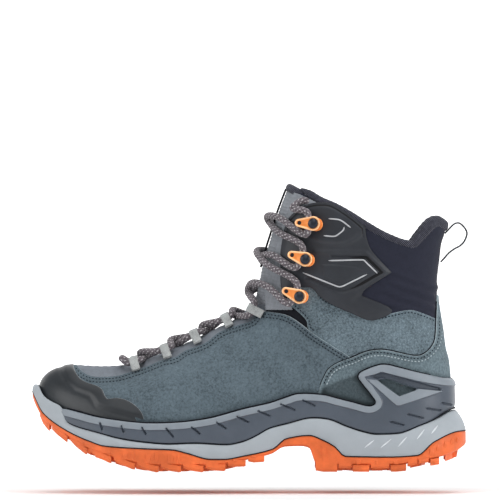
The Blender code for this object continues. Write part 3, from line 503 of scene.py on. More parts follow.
def half(side, gap=0.0):
    return lambda p: side * (p[:, 1] - centre(p[:, 0])) - gap


def across(p):
    return abs(p[:, 1] - centre(p[:, 0]))


def sweep(path, section, ups):
    """Points and faces of a section swept along a path; ups are the section's second directions."""
    path, ups = np.asarray(path, float), np.asarray(ups, float)
    run = np.gradient(path, axis=0)
    run /= np.linalg.norm(run, axis=1)[:, None]
    wide = np.cross(run, ups)
    wide /= np.linalg.norm(wide, axis=1)[:, None]
    ups = np.cross(wide, run)
    count, sides = len(path), len(section(0.0))
    points = []
    for k in range(count):
        turn = np.asarray(section(k / (count - 1)), float)
        points.append(path[k] + turn[:, :1] * wide[k] + turn[:, 1:] * ups[k])
    faces = [(k * sides + i, k * sides + (i + 1) % sides, (k + 1) * sides + (i + 1) % sides,
              (k + 1) * sides + i) for k in range(count - 1) for i in range(sides)]
    faces += [tuple(range(sides))[::-1], tuple(range((count - 1) * sides, count * sides))]
    return np.concatenate(points), faces


def oval(wide, high, sides=12, power=1.0):
    angles = np.linspace(0, 2 * math.pi, sides, endpoint=False)
    c, s = np.cos(angles), np.sin(angles)
    return np.stack([wide * np.sign(c) * abs(c) ** power, high * np.sign(s) * abs(s) ** power], 1)


def gather(name, parts, finishes, sharp=60):
    """One piece from several closed shapes: (points, faces), and for a finish other than the first its number."""
    points, faces, kinds, base = [], [], [], 0
    for shape_points, shape_faces, *kind in parts:
        points.append(np.asarray(shape_points, float))
        faces += [tuple(int(i) + base for i in f) for f in shape_faces]
        kinds += kind[0] if kind and isinstance(kind[0], list) else [*kind, 0][:1] * len(shape_faces)
        base += len(shape_points)
    return make_mesh(name, np.concatenate(points), faces, finishes, kinds, sharp)


def turned(profile, spot, axis, sides=24):
    """Points and faces of a round shape turned from (radius, height) pairs about an axis through spot."""
    basis = Vector(axis).normalized().to_track_quat("Z", "Y").to_matrix()
    points, faces = [], []
    for radius, height in profile:
        for k in range(sides):
            a = 2 * math.pi * k / sides
            points.append(Vector(spot) + basis @ Vector((radius * math.cos(a), radius * math.sin(a), height)))
    for j in range(len(profile) - 1):
        for k in range(sides):
            n = (k + 1) % sides
            faces.append((j * sides + k, j * sides + n, (j + 1) * sides + n, (j + 1) * sides + k))
    faces += [tuple(range(sides))[::-1], tuple(range((len(profile) - 1) * sides, len(profile) * sides))]
    return points, faces


# ---- materials ---------------------------------------------------------------------------------
def tone(red, green, blue):
    """A screen colour, 0 to 255, as linear light."""
    return tuple(((c / 255 + 0.055) / 1.055) ** 2.4 if c > 10 else c / 255 / 12.92 for c in (red, green, blue))


class Finish:
    """A procedural material: a Principled shader with helpers that add texture nodes."""

    def __init__(self, name, roughness, **settings):
        self.material = bpy.data.materials.new(name)
        self.material.use_nodes = True
        self.tree = self.material.node_tree
        self.shader = self.tree.nodes["Principled BSDF"]
        self.shader.inputs["Roughness"].default_value = roughness
        for key, value in settings.items():
            self.shader.inputs[key.replace("_", " ")].default_value = value
        self.place = self.add("ShaderNodeTexCoord").outputs["Object"]

    def add(self, kind, inputs=None, **settings):
        node = self.tree.nodes.new(kind)
        for key, value in settings.items():
            setattr(node, key, value)
        for key, value in (inputs or {}).items():
            if isinstance(value, bpy.types.NodeSocket):
                self.tree.links.new(value, node.inputs[key])
            else:
                node.inputs[key].default_value = value
        return node

    def stretched(self, scale, turn=(0, 0, 0)):
        return self.add("ShaderNodeMapping", {"Vector": self.place, "Scale": scale, "Rotation": turn}).outputs[0]

    def noise(self, scale, detail=3.0, roughness=0.6, place=None):
        node = self.add("ShaderNodeTexNoise", {"Vector": place or self.place, "Scale": scale,
                                               "Detail": detail, "Roughness": roughness})
        return node.outputs["Fac"]

    def waves(self, scale, direction="X", distortion=0.0, place=None):
        node = self.add("ShaderNodeTexWave", {"Vector": place or self.place, "Scale": scale,
                                              "Distortion": distortion, "Detail": 1.0},
                        bands_direction=direction)
        return node.outputs["Fac"]

    def cells(self, scale, place=None, feature="F1"):
        node = self.add("ShaderNodeTexVoronoi", {"Vector": place or self.place, "Scale": scale}, feature=feature)
        return node.outputs["Distance"]

    def sums(self, operation, a, b):
        return self.add("ShaderNodeMath", {0: a, 1: b}, operation=operation).outputs[0]

    def ramp(self, value, *stops):
        node = self.add("ShaderNodeValToRGB", {"Fac": value})
        elements = node.color_ramp.elements
        while len(elements) < len(stops):
            elements.new(0.5)
        for element, (at, colour) in zip(elements, stops):
            element.position = at
            element.color = (*colour, 1)
        return node.outputs["Color"]

    def mixed(self, share, a, b, blend="MIX"):
        node = self.add("ShaderNodeMix", {0: share}, data_type="RGBA", blend_type=blend)
        for socket, value in ((node.inputs[6], a), (node.inputs[7], b)):
            if isinstance(value, bpy.types.NodeSocket):
                self.tree.links.new(value, socket)
            else:
                socket.default_value = (*value, 1)
        return node.outputs[2]

    def colour(self, socket):
        self.tree.links.new(socket, self.shader.inputs["Base Color"])

    def bump(self, height, depth, strength=1.0):
        """Relief of the surface, depth in millimetres."""
        node = self.add("ShaderNodeBump", {"Height": height, "Distance": depth * MM, "Strength": strength})
        self.tree.links.new(node.outputs[0], self.shader.inputs["Normal"])


def around(colour, spread):
    """Three stops about a colour: darker, itself, lighter."""
    return ((0.36, tuple(c * (1 - spread) for c in colour)), (0.5, colour),
            (0.66, tuple(min(1, c * (1 + spread)) for c in colour)))


def suede_finish(name, colour, spread=0.32, nap=620):
    """Brushed suede: blotches where the nap lies over, a fine speckle, a soft sheen, and painted shade from the point
    value shade.
    """
    f = Finish(name, 0.92, Sheen_Weight=0.12, Sheen_Roughness=0.45, Specular_IOR_Level=0.15)
    f.shader.inputs["Sheen Tint"].default_value = (0.75, 0.85, 0.9, 1)
    blotch = f.noise(34, 4, 0.65)
    speckle = f.noise(nap, 4, 0.75)
    value = f.sums("ADD", f.sums("MULTIPLY", blotch, 0.3), f.sums("MULTIPLY", speckle, 0.7))
    # painted shade: the point value shade mixes the suede towards a dark copy of its colour
    shade = f.add("ShaderNodeAttribute", attribute_name="shade").outputs["Fac"]
    f.colour(f.mixed(shade, f.ramp(value, *around(colour, spread)), tuple(c * 0.18 for c in colour)))
    f.bump(f.sums("ADD", f.sums("MULTIPLY", speckle, 0.7), f.sums("MULTIPLY", f.noise(1900, 2), 0.4)), 0.45, 0.85)
    return f.material


def moulded_finish(name, colour, roughness=0.5, spread=0.14, grain=900, depth=0.06, **settings):
    """Moulded plastic or rubber: almost even, with a fine grain and faint clouding."""
    f = Finish(name, roughness, **{"Specular_IOR_Level": 0.3, **settings})
    f.colour(f.ramp(f.noise(60, 5, 0.6), *around(colour, spread)))
    f.bump(f.noise(grain, 3, 0.7), depth, 0.7)
    return f.material


def cloth_finish(name, colour, scale, spread=0.35, depth=0.25, turn=(0, 0.35, 0), **settings):
    """A woven textile: two crossing sets of threads with uneven dye."""
    f = Finish(name, 0.9, Sheen_Weight=0.05, Specular_IOR_Level=0.15, **settings)
    at = f.stretched((1, 1, 1), turn)
    weave = f.sums("MAXIMUM", f.waves(scale, "X", 0.6, at), f.waves(scale, "Z", 0.6, at))
    value = f.sums("ADD", f.sums("MULTIPLY", weave, 0.4), f.sums("MULTIPLY", f.noise(260, 4, 0.7), 0.6))
    f.colour(f.ramp(value, *around(colour, spread)))
    f.bump(weave, depth, 0.7)
    return f.material


def knit_finish(name, colour, light):
    """A ribbed knit: short slanted loops in columns, with lighter yarn showing."""
    f = Finish(name, 0.9, Sheen_Weight=0.08, Specular_IOR_Level=0.15)
    left = f.waves(320, "X", 1.2, f.stretched((1, 1, 1), (0, 0.75, 0)))
    right = f.waves(320, "X", 1.2, f.stretched((1, 1, 1), (0, -0.75, 0)))
    loops = f.sums("MULTIPLY", left, right)
    value = f.sums("ADD", f.sums("MULTIPLY", loops, 0.55), f.sums("MULTIPLY", f.noise(420, 3, 0.7), 0.5))
    f.colour(f.ramp(value, (0.3, tuple(c * 0.5 for c in colour)), (0.5, colour), (0.8, light)))
    f.bump(loops, 0.5, 0.9)
    return f.material


def lace_finish(name):
    """Braided cord: the braid's relief is in the mesh, flecks come from its own pattern value."""
    f = Finish(name, 0.85, Sheen_Weight=0.08, Specular_IOR_Level=0.2)
    fleck = f.add("ShaderNodeAttribute", attribute_name="fleck").outputs["Fac"]
    yarn = f.ramp(f.noise(700, 3, 0.7), *around(tone(96, 90, 95), 0.5))
    f.colour(f.mixed(fleck, yarn, tone(205, 203, 205)))
    f.bump(f.noise(1500, 2), 0.15, 0.6)
    return f.material


def make_finishes():
    f = {
        "vamp": suede_finish("vamp_suede", tone(86, 99, 107), 0.45),
        "ankle": suede_finish("ankle_suede", tone(96, 110, 118), 0.7, 800),
        # painted light: the heel's suede is a lighter copy of the vamp's, for the light that falls on it from the right
        "heel": suede_finish("heel_suede", tone(102, 117, 124), 0.45),
        # cut edges of the suede: partly their own lighter raw colour, partly a painted highlight along the rim
        "raw_lit_edge": suede_finish("raw_edge_highlight", tone(150, 164, 170), 0.25),
        "thread": cloth_finish("thread", tone(30, 38, 46), 900, 0.3, 0.05),
        "light_thread": cloth_finish("light_thread", tone(150, 162, 168), 900, 0.3, 0.05),
        "cap": moulded_finish("toe_rubber", tone(36, 40, 44), 0.4, 0.12, Specular_IOR_Level=0.4),
        "cap_edge": moulded_finish("toe_rubber_edge", tone(120, 128, 133), 0.6),
        "overlay": moulded_finish("moulded_film", tone(44, 47, 53), 0.45, 0.12, 1200),
        "groove": moulded_finish("moulded_groove", tone(14, 15, 19), 0.6),
        "silver": moulded_finish("silver_line", tone(176, 179, 183), 0.35, 0.08),
        "navy": cloth_finish("collar_textile", tone(36, 38, 50), 420, 0.2, 0.12),
        "knit": knit_finish("binding_knit", tone(62, 63, 75), tone(112, 114, 126)),
        "lining": cloth_finish("lining_mesh", tone(50, 51, 58), 330, 0.3),
        "tongue": cloth_finish("tongue_textile", tone(126, 130, 136), 330, 0.22, 0.3, (0, 0.1, 0)),
        "gusset": cloth_finish("gusset_textile", tone(112, 118, 126), 420, 0.2),
        # dark tape and spine, and also the colour of the painted shadow lines between parts
        "dark": moulded_finish("dark_tape_and_shadow", tone(20, 22, 28), 0.8, Specular_IOR_Level=0.15),
        "webbing": cloth_finish("loop_webbing", tone(150, 153, 153), 420, 0.55, 0.4, (0, 0.8, 0)),
        "strap": cloth_finish("strap_webbing", tone(58, 60, 66), 420, 0.3, 0.3),
        "lace": lace_finish("lace_cord"),
        "frame": moulded_finish("frame_plastic", tone(74, 82, 93), 0.36, 0.08, Specular_IOR_Level=0.45),
        "bevel": moulded_finish("frame_bevel", tone(128, 136, 144), 0.42, 0.06),
        # painted shade: a darker copy of the frame plastic for its recess and slits
        "recess": moulded_finish("frame_recess_shade", tone(66, 73, 83), 0.55, 0.1),
        "midsole": moulded_finish("midsole_foam", tone(158, 165, 171), 0.6, 0.04, 1500, 0.08),
        "slash": moulded_finish("midsole_slash", tone(205, 210, 215), 0.5, 0.05),
        "rubber": moulded_finish("orange_rubber", tone(224, 106, 54), 0.5, 0.16, 1000, 0.08),
        "plate": moulded_finish("stiffener_plastic", tone(58, 58, 60), 0.5),
        "board": cloth_finish("fibre_board", tone(196, 180, 148), 600, 0.2),
        "foam": moulded_finish("padding_foam", tone(208, 206, 192), 0.95, 0.08, 700, 0.5),
        "footbed": cloth_finish("footbed_cloth", tone(86, 88, 95), 500, 0.3),
        "hook": moulded_finish("hook_paint", tone(246, 150, 78), 0.34, 0.08, 500, 0.03, Metallic=0.25),
        # painted highlight: a lighter copy of the hook paint for its rim
        "hook_rim_highlight": moulded_finish("hook_rim_highlight", tone(255, 196, 142), 0.3, 0.05, 500, 0.02, Metallic=0.2),
        "rivet": moulded_finish("rivet_steel", tone(52, 56, 64), 0.32, 0.1, 700, 0.03, Metallic=0.8),
        "aglet": moulded_finish("aglet_plastic", tone(30, 30, 32), 0.25),
    }
    return f


FINISH = make_finishes()
CAD_FINISHES = {
    "shank": "plate", "toe_puff": "plate", "heel_counter": "plate", "insole_board": "board",
    "collar_padding": "foam", "lace_aglet_outer": "aglet", "lace_aglet_inner": "aglet",
}


def dress_cad_nodes():
    """The sealed inner pieces and the lace's tips keep their CAD shapes."""
    for node, finish in CAD_FINISHES.items():
        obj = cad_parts[node]
        obj.data.materials.clear()
        obj.data.materials.append(FINISH[finish])


# ---- the upper ---------------------------------------------------------------------------------
def shifted(points, dx, dz):
    return [(x + dx, z + dz) for x, z in points]


TOE_OUTLINE = np.array([(-170, 15), (-170, 90), *curved(TOE_CAP_REAR)])
QUARTER_OUTLINE = np.array([*shifted(TOE_CAP_REAR, -5, -3)[::-1], *curved(THROAT_EDGE), *shifted(HEEL_FRONT, 5, -3)])
HEEL_OUTLINE = np.array([*curved(HEEL_FRONT)[::-1], *curved(HEEL_TOP), (170, 122.5), (170, 20)])
ANKLE_OUTLINE = np.array([
    *curved(ANKLE_TOP), (135, 104), (135, 84), (120, 75), (93, 78), (72, 73), (48, 87), (42.5, 93.5),
    *curved(ANKLE_FRONT),
])
OVERLAY_OUTLINE = curved(OVERLAY)
BINDING_LINE = curved(COLLAR_TOP)
COLLAR_OUTLINE = np.array([
    (18, 136), *shifted(ANKLE_TOP, 0, -4), (150, 103), (150, 172),
    *[(x + 0.6, z - 3.2 - 2.4 * float(smooth(62, 48, x))) for x, z in COLLAR_TOP[-2::-1]], (24, 196),
])
UPPER_RIDGE = ((40, 163.5), (48, 159), (58, 157.6), (68, 159.3), (76, 164.5), (79, 170))
OUTER_RIDGE = (
    (46, 152.7), (60, 152.9), (79.6, 152.3), (79.6, 152.3), (94.7, 138.3), (94.7, 138.3),
    (74, 124.5), (71, 121.5),
)
CHANNEL = ((57, 149), (81, 148.8), (81, 148.8), (91.2, 138.5), (91.2, 138.5), (66.5, 125.6), (56, 127.4), (40, 134.6))
# painted shade: the heel panel is darkened inside this outline, between the frame and its strut
HEEL_SHADE_PATCH = ((50, 58), (60, 62.5), (75.5, 68), (79, 66), (92, 49), (80, 44), (60, 48), (49, 50))
PLATEAU = ((50, 143.8), (60, 143.6), (74, 142), (74, 142), (81.5, 138.2), (81.5, 138.2), (63.8, 131), (52, 135.5))
SILVER = (
    ((54.7, 175.7), (61.4, 175.1), (64, 174), (69.8, 169.5)),
    ((51.3, 163.9), (57.9, 163.4), (60, 164), (64.8, 167.9), (65.3, 170)),
    ((54.5, 146.6), (78.2, 147.2), (79.2, 146.8), (79.2, 146.8), (88.3, 137.8)),
    ((36.9, 138.2), (59.4, 129.2), (62, 128.5), (64.5, 129), (64.5, 129), (81.2, 137.2)),
)


def suede_shade(p, edge):
    """How much painted shade darkens the suede: along its seams, beside the frame, in the corner between the frame and
    its strut at the heel, in the frame's window, and towards the bottom.
    """
    x, z = p[:, 0], p[:, 2]
    seam = 0.22 * bell(edge - 3.2, 2.2)
    foot = 0.42 * (1 - smooth(0, 4.5, near(TOP_BAND, x, z)))
    heel_patch_shade = 0.62 * smooth(-1.2, 1.2, inside(HEEL_SHADE_PATCH, x, z)) + 0.7 * smooth(-1, 1, inside(FRAME_WINDOW, x, z))
    return np.clip(seam + foot + heel_patch_shade + 0.1 * (1 - smooth(36, 80, z)), 0, 1)


def toe_height(p):
    fold = inside(TOE_FOLD, p[:, 0], p[:, 2])
    return 0.1 + 0.6 * smooth(-1.6, 1.6, fold) - 0.25 * bell(fold + 2.4, 1.4)


def make_toe_cap():
    obj = panel("toe_cap_cover", loft(0, 9), within(TOE_OUTLINE), -1.5, toe_height,
                [FINISH["cap"], FINISH["cap_edge"]])
    place(obj, "toe_rubber", "toe_cap")


def pleats(p):
    """Soft folds that slope down to the back where the ankle bends."""
    x, z = p[:, 0], p[:, 2]
    level = z + 0.33 * (x - 100)
    where = smooth(84, 104, x) * (1 - smooth(134, 146, level)) * smooth(0.3, 4, -inside(ANKLE_OUTLINE, x, z))
    folds = 0.5 + 0.5 * np.sin(level * 2 * np.pi / 7.6)
    return 1.2 * where * smooth(0, 3, -inside(HEEL_OUTLINE, x, z)) * folds


def overlay_height(p):
    """The relief of the moulded overlay: a framed lens above, and a nested arrow shape below."""
    x, z = p[:, 0], p[:, 2]
    height = 0.3 + 0.45 * smooth(0, 5, inside(OVERLAY_OUTLINE, x, z))
    height += 0.75 * bell(near(curved(UPPER_RIDGE), x, z), 1.6)
    height += 0.85 * bell(near(curved(OUTER_RIDGE), x, z), 1.9)
    height -= 1.15 * bell(near(curved(CHANNEL), x, z), 1.1)
    height += 0.55 * smooth(-0.7, 0.7, inside(PLATEAU, x, z))
    height -= 0.5 * bell(inside(OVERLAY_OUTLINE, x, z) - 2.2, 0.8) * smooth(160, 168, z)
    return height


def groove(p):
    """Above 0 in the black part of the channel, round the overlay's point, and along its top arc."""
    x, z = p[:, 0], p[:, 2]
    channel = 1.05 * smooth(66, 80, x) - near(curved(CHANNEL), x, z) - 0.05
    arc = 0.55 * smooth(160, 172, z) - abs(inside(OVERLAY_OUTLINE, x, z) - 2.2) - 0.05
    return np.maximum(channel, arc)


def ankle_and_sides():
    """The suede quarters and ankle panels, the overlays, and the grey wings in front of them."""
    low = loft(1, 14, -1.0, 0.0)
    high = loft(8, 22, -1.0, 0.0, FINE)
    finest = loft(10, 22, -1.0, 0.0, 0.5)
    wing = np.array([(10, 112), (8, 150), (20, 197), (31, 195), (45, 188.2), (54, 184), (48, 182), (36, 178),
                     (30, 172), (26, 160), (25, 145), (26, 125), (30, 112)])
    for side, word in ((-1, "outer"), (1, "inner")):
        def on(sheet):
            return sheet if side < 0 else sheet.mirrored()
        place(panel(f"quarter_suede_{word}", on(low), both(within(QUARTER_OUTLINE), half(side, 0.5)), -1.75, 0.1,
                    [FINISH["vamp"], FINISH["raw_lit_edge"]], shade=suede_shade), "suede", f"quarter_{word}")
        place(panel(f"ankle_suede_{word}", on(high), both(within(ANKLE_OUTLINE), half(side, 0.5)), -1.95, -0.4,
                    [FINISH["ankle"], FINISH["raw_lit_edge"]], shade=suede_shade), "suede", f"ankle_panel_{word}")
        place(panel(f"collar_moulding_{word}", on(finest), both(within(OVERLAY_OUTLINE), half(side, 0.5)), -0.6,
                    overlay_height, [FINISH["overlay"], FINISH["groove"]], 0.2, 1.0, 0.5, groove),
              "moulded_film", f"collar_overlay_{word}")
        place(panel(f"tongue_wing_{word}", on(high), both(within(wing), lambda p: across(p) - 20), -1.8, -0.35,
                    [FINISH["tongue"], FINISH["dark"]], 0.6, 1.2, 0.8), "tongue_textile")


def make_heel_panel():
    place(panel("heel_suede", loft(9, 20), within(HEEL_OUTLINE), -1.6, 0.5, [FINISH["heel"], FINISH["raw_lit_edge"]],
                shade=suede_shade),
          "suede", "heel_panel")


def make_collar():
    """The textile shell of the collar with its pleats, the lining behind it and the roll on top."""
    shaft = loft(9, 22, grid=FINE * 1.3)
    open_front = lambda p: np.maximum(across(p) - 21, p[:, 0] - 75)
    shell = panel("collar_textile_shell", shaft, both(within(COLLAR_OUTLINE), open_front), -1.8,
                  lambda p: -0.8 + pleats(p), [FINISH["navy"]])
    place(shell, "collar_textile", "collar_shell")
    outline = np.array([(-170, 0), (-170, 90), (20, 197), *shifted(COLLAR_TOP, 0.6, -5)[1:-1], (170, 172), (170, 0)])
    throat = np.array([(-170, 0), (-170, 70), (-126, 78), (-112, 60), (-88, 59), (-60, 69), (-44, 75), (-20, 86),
                       (30, 100), (30, 240), (170, 240), (170, 0)])

    def lined(p):
        open_throat = np.where(p[:, 0] > 20, 60, inside(throat, p[:, 0], p[:, 2]))
        beside = np.maximum(np.maximum(across(p) - 37, p[:, 0] - 75), 112 - p[:, 2])
        return np.minimum(np.minimum(within(outline)(p), open_throat), beside)

    def depth(p):
        return -3.3 - 2.6 * smooth(64, 88, p[:, 2]) * smooth(-10, 20, p[:, 0])

    lining = panel("padded_lining", loft(grid=1.5), lined, lambda p: depth(p) - 0.9, depth, [FINISH["lining"]], drop=0.1)
    place(lining, "lining", "lining")
    make_roll()


def make_roll():
    """The knitted roll along the top of the collar, thicker round the heel."""
    rise = lambda x: 2.6 + 1.5 * smooth(104, 126, x)
    flat = [p for p in even(BINDING_LINE, 1.6) if 33 < p[0] < 131]
    flat += [(132.6, 177.7), (134.6, 176.9), (136.2, 176), (137.3, 175.3)]
    path, outs = [], []
    for x, z in flat:
        spot, normal = on_side(x, z - rise(x), -1, -2.9 - 0.5 * smooth(104, 126, x))
        path.append(spot)
        outs.append(normal)
    path.append(Vector((134.9, float(centre(138)), 171.0)))
    outs.append(Vector((1, 0, 0.15)))
    flip = lambda v, at: Vector((v.x, 2 * float(centre(v.x)) - v.y if at else -v.y, v.z))
    path += [flip(p, True) for p in path[-2::-1]]
    outs += [flip(n, False) for n in outs[-2::-1]]
    rail = even(curved([tuple(p) for p in path], 3), 0.9)
    along = np.linspace(0, 1, len(rail))
    ups = np.stack([np.interp(along, np.linspace(0, 1, len(outs)), [o[k] for o in outs]) for k in range(3)], 1)

    def section(s):
        x = rail[min(int(round(s * (len(rail) - 1))), len(rail) - 1)][0]
        taper = 0.35 + 0.65 * min(1, min(s, 1 - s) * 30)
        rib = 1 + 0.035 * math.cos(s * len(rail) * 0.9 / 1.9 * math.pi)
        return oval(rise(x) * taper * rib, (2.9 + 1.0 * smooth(104, 126, x)) * taper * rib, 18, 0.85)

    points, faces = sweep(rail, section, ups)
    roll = make_mesh("collar_roll", points, faces, [FINISH["knit"]], sharp=70)
    place(roll, "knit", "collar_binding")


def make_throat():
    """The textile gusset under the laces, darker where it shows behind the ankle panel."""
    outline = np.array([(-126, 100), (-126, 62), (-113, 58), (-90, 58), (-60, 68), (-44, 74), (-20, 85), (20, 90),
                        (50, 86), (48, 104), (36, 120), (22, 132), (0, 132), (-30, 117)])
    below = lambda p: np.maximum(116.5 - p[:, 2], across(p) - TONGUE_HALF - 1)
    sheet = loft(3, 16)
    ripple = lambda p: -2.0 + 1.9 * smooth(23, 9, across(p)) + 0.12 * np.sin(p[:, 0] * 1.1)
    place(panel("gusset_textile", sheet, both(within(outline), below), -3.0, ripple, [FINISH["gusset"]]),
          "tongue_textile", "throat_gusset")
    under = np.array([(2, 90), (-2, 108), (4, 116), (16, 124), (24, 128), (40, 110), (50, 96), (44, 88)])
    for side, word in ((-1, "outer"), (1, "inner")):
        place(panel(f"ankle_underlay_{word}", sheet, both(within(under), half(side, 24)), -1.95, -1.3,
                    [FINISH["dark"]]), "tongue_textile")


def make_tongue():
    """The padded tongue: ribbed textile with a knitted roll round its top and a dark spine."""
    field = both(within(np.array([(-60, 109), (3, 109), (36, 113), (60, 150), (60, 181), (31, 197.5), (-60, 196.5)])),
                 lambda p: TONGUE_HALF - across(p), lambda p: 60 - p[:, 0])
    sheet = loft(9, 22, -0.62, 0.62, FINE)
    ribs = lambda p: -1.95 + 0.16 * np.sin(2 * np.pi * (p[:, 2] + 0.35 * p[:, 0]) / 2.6)
    low = lambda p: -3.2 - 3.2 * smooth(118, 128, p[:, 2])
    face = panel("tongue_pad", sheet, field, low, ribs, [FINISH["tongue"]], 0.6, 2.4, 1.6)
    rail = []
    for reach in np.linspace(-25, 25, 41):
        x = 27.6 + 0.0145 * reach * reach
        spot, normal, _, _ = SKIN.find_nearest(Vector((x, float(centre(x)) + reach, 197.4 - 0.0085 * reach * reach)))
        rail.append(spot - normal * 2.9)
    rail = even(curved([tuple(p) for p in rail], 2), 0.9)
    ups = np.array([(-1.0, 0.0, 0.3)] * len(rail))
    taper = lambda s: 0.5 + 0.5 * min(1, min(s, 1 - s) * 14)
    ends = lambda s: oval(3.0 * taper(s), 2.7 * taper(s), 16, 0.9)
    roll = make_mesh("tongue_roll", *sweep(rail, ends, ups), [FINISH["knit"]], sharp=70)
    spine = [SKIN.find_nearest(Vector((x, float(centre(x)), z)))[0] for x, z in ((6, 142), (9.5, 152), (13, 164), (18, 180), (22.5, 192), (24.5, 196.5))]
    rail = even(curved([tuple(p + Vector((0.9, 0, 0))) for p in spine], 5), 1.2)
    strip = make_mesh("tongue_spine", *sweep(rail, lambda s: oval(4.2, 0.75, 14, 0.7), [(-1, 0, 0.3)] * len(rail)),
                      [FINISH["dark"]])
    for piece, slot in ((face, "tongue_textile"), (roll, "knit"), (strip, "tongue_textile")):
        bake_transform(piece)
    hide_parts("tongue", "tongue_padding")


# ---- stitches and lines on the surface ---------------------------------------------------------
def offset_row(path, distance):
    """The line moved sideways: positive is to the right of its direction, seen from the outer side."""
    path = even(path, 0.9)
    run = np.gradient(path, axis=0)
    run /= np.linalg.norm(run, axis=1)[:, None]
    return path + np.stack([run[:, 1], -run[:, 0]], 1) * distance


def heel_edge():
    """The heel panel's edge from the frame up to where the backstay starts."""
    path = np.concatenate([curved(HEEL_FRONT)[::-1][8:], curved(HEEL_TOP)[1:]])
    return path[: np.argmax(path[:, 1] > 120)]


def stitches(path, side, lift, spacing=2.35, length=1.5, radius=0.46):
    """Short rounded threads along a line in the side view, each a closed shape."""
    parts = []
    spots = [on_side(x, z, side, lift) for x, z in even(path, spacing) if x < line(BACK_LINE, z) - 1]
    for (before, _), (spot, normal), (after, _) in zip(spots, spots[1:], spots[2:]):
        run = (after - before).normalized() * length / 2
        rail = [spot + run * k - normal * (0.32 * k * k) for k in (-1, -0.6, 0, 0.6, 1)]
        size = (0.45, 0.9, 1.0, 0.9, 0.45)
        section = lambda s: oval(radius * size[round(s * 4)], radius * size[round(s * 4)], 6)
        parts.append(sweep(rail, section, [normal] * 5))
    return parts


def make_stitching():
    """Double rows of stitches on the quarters and the heel, single rows on the ankle panels."""
    throat, heel = curved(THROAT_EDGE)[3:], heel_edge()
    top, front = curved(ANKLE_TOP)[1:], curved(ANKLE_FRONT)
    rows = ((throat, 1.9, 0.1), (throat, 4.0, 0.1), (heel, 1.9, 0.5), (top, 1.9, -0.4), (front, 1.9, -0.4))
    dark, light = [], []
    for side in (-1, 1):
        for path, distance, lift in rows:
            dark += stitches(offset_row(path, distance), side, lift + 0.05)
        light += stitches(offset_row(heel, 4.0), side, 0.55)
    place(gather("upper_stitching", dark, [FINISH["thread"]]), "suede")
    place(gather("heel_stitching", light, [FINISH["light_thread"]]), "suede")


def surface_cord(path, side, lift, radius):
    """A thin line that follows the upper's surface."""
    spots = [on_side(x, z, side, lift) for x, z in even(path, 0.9)]
    return sweep([s for s, _ in spots], lambda s: oval(radius, radius, 6), [n for _, n in spots])


def make_seam_shadows():
    """Painted shadow: dark lines where one panel meets the next, round the frame's edges and along the top of the
    outsole.
    """
    parts = []
    for side in (-1, 1):
        parts.append(surface_cord(offset_row(heel_edge(), -0.35), side, -0.15, 0.42))
        parts.append(surface_cord(offset_row(TOP_BAND[:-6], -0.4), side, 0.35, 0.6))
        parts.append(surface_cord(offset_row(curved(ANKLE_FRONT), -0.3), side, -0.9, 0.4))
    place(gather("seam_shadow_lines", parts, [FINISH["dark"]]), "suede")
    # painted shadow in the gaps above the outsole and below the frame
    edge = ring(flare(4.75, 4.3, 11.3), lambda x: outsole_rim(x) + 0.55)
    lower = ring(flare(4.0, 3.3, 4.5), lambda x: line(FRAME_LINE, x) + 0.45 + 1.2 * smooth(125, 136, x))
    lower = lower[lower[:, 0] > -127]
    lower[:, 0] = np.minimum(lower[:, 0], 143.2)
    parts = [sweep(rail, lambda s: oval(0.42, 0.42, 6), [(0, 0, 1)] * len(rail)) for rail in (edge, lower)]
    place(gather("sole_gap_shadows", parts, [FINISH["dark"]]), "midsole_foam")


def make_silver_lines():
    """Thin bright lines in the moulded overlays."""
    parts = []
    for side in (-1, 1):
        for route in SILVER:
            spots = []
            for x, z in even(curved(route), 0.8):
                spot, normal = on_side(x, z, side)
                spots.append((spot + normal * (float(overlay_height(np.array([[x, spot.y, z]]))[0]) + 0.12), normal))
            width = lambda s: oval(0.5 * min(1, 0.3 + min(s, 1 - s) * 12), 0.3, 8)
            parts.append(sweep([s for s, _ in spots], width, [n for _, n in spots]))
    place(gather("moulding_lines", parts, [FINISH["silver"]]), "moulded_film")


# ---- the sole ----------------------------------------------------------------------------------
def sole_places(count):
    middle, reach = (TOE_X + HEEL_X) / 2, (HEEL_X - TOE_X) / 2
    spread = middle - reach * np.cos(np.linspace(0, math.pi, count))
    return np.sort(np.concatenate([spread, (41.0, 42.5, 44.5, 46.5, 48.5)]))


def ring(offset, height, count=170):
    """Points round the sole, offset from the upper's foot: the outer side first, then back."""
    x = sole_places(count)
    reach = line(FOOT_HALF, x) * rounded(HEEL_X - x, 42, 2.25) * rounded(x - TOE_X, 60, 2.2)
    flat = np.concatenate([np.stack([x, centre(x) - reach], 1), np.stack([x, centre(x) + reach], 1)[-2:0:-1]])
    tangent = np.roll(flat, -1, 0) - np.roll(flat, 1, 0)
    normal = np.stack([tangent[:, 1], -tangent[:, 0]], 1)
    normal /= np.linalg.norm(normal, axis=1)[:, None]
    distance = offset(flat[:, 0]) if callable(offset) else offset
    moved = flat + normal * np.asarray(distance).reshape(-1, 1)
    return np.column_stack([moved, height(moved[:, 0])])


def cap(count):
    """Faces that close a ring of count points across, side to side."""
    middle = count // 2
    across_faces = [(i, i + 1, count - i - 1, (count - i) % count) for i in range(1, middle - 1)]
    return [(0, 1, count - 1), *across_faces, (middle - 1, middle, middle + 1)]


def ring_shape(rings):
    """Points and faces of a closed solid through a list of rings."""
    count = len(rings[0])
    faces = [f[::-1] for f in cap(count)]
    for k in range(len(rings) - 1):
        for i in range(count):
            j = (i + 1) % count
            faces.append((k * count + i, k * count + j, (k + 1) * count + j, (k + 1) * count + i))
    faces += [tuple(i + (len(rings) - 1) * count for i in f) for f in cap(count)]
    return np.concatenate(rings), faces


def board_height(x):
    table = np.array(STATIONS[: SOLE_END + 1], float)
    return line((table[:, 2], table[:, 3]), x)


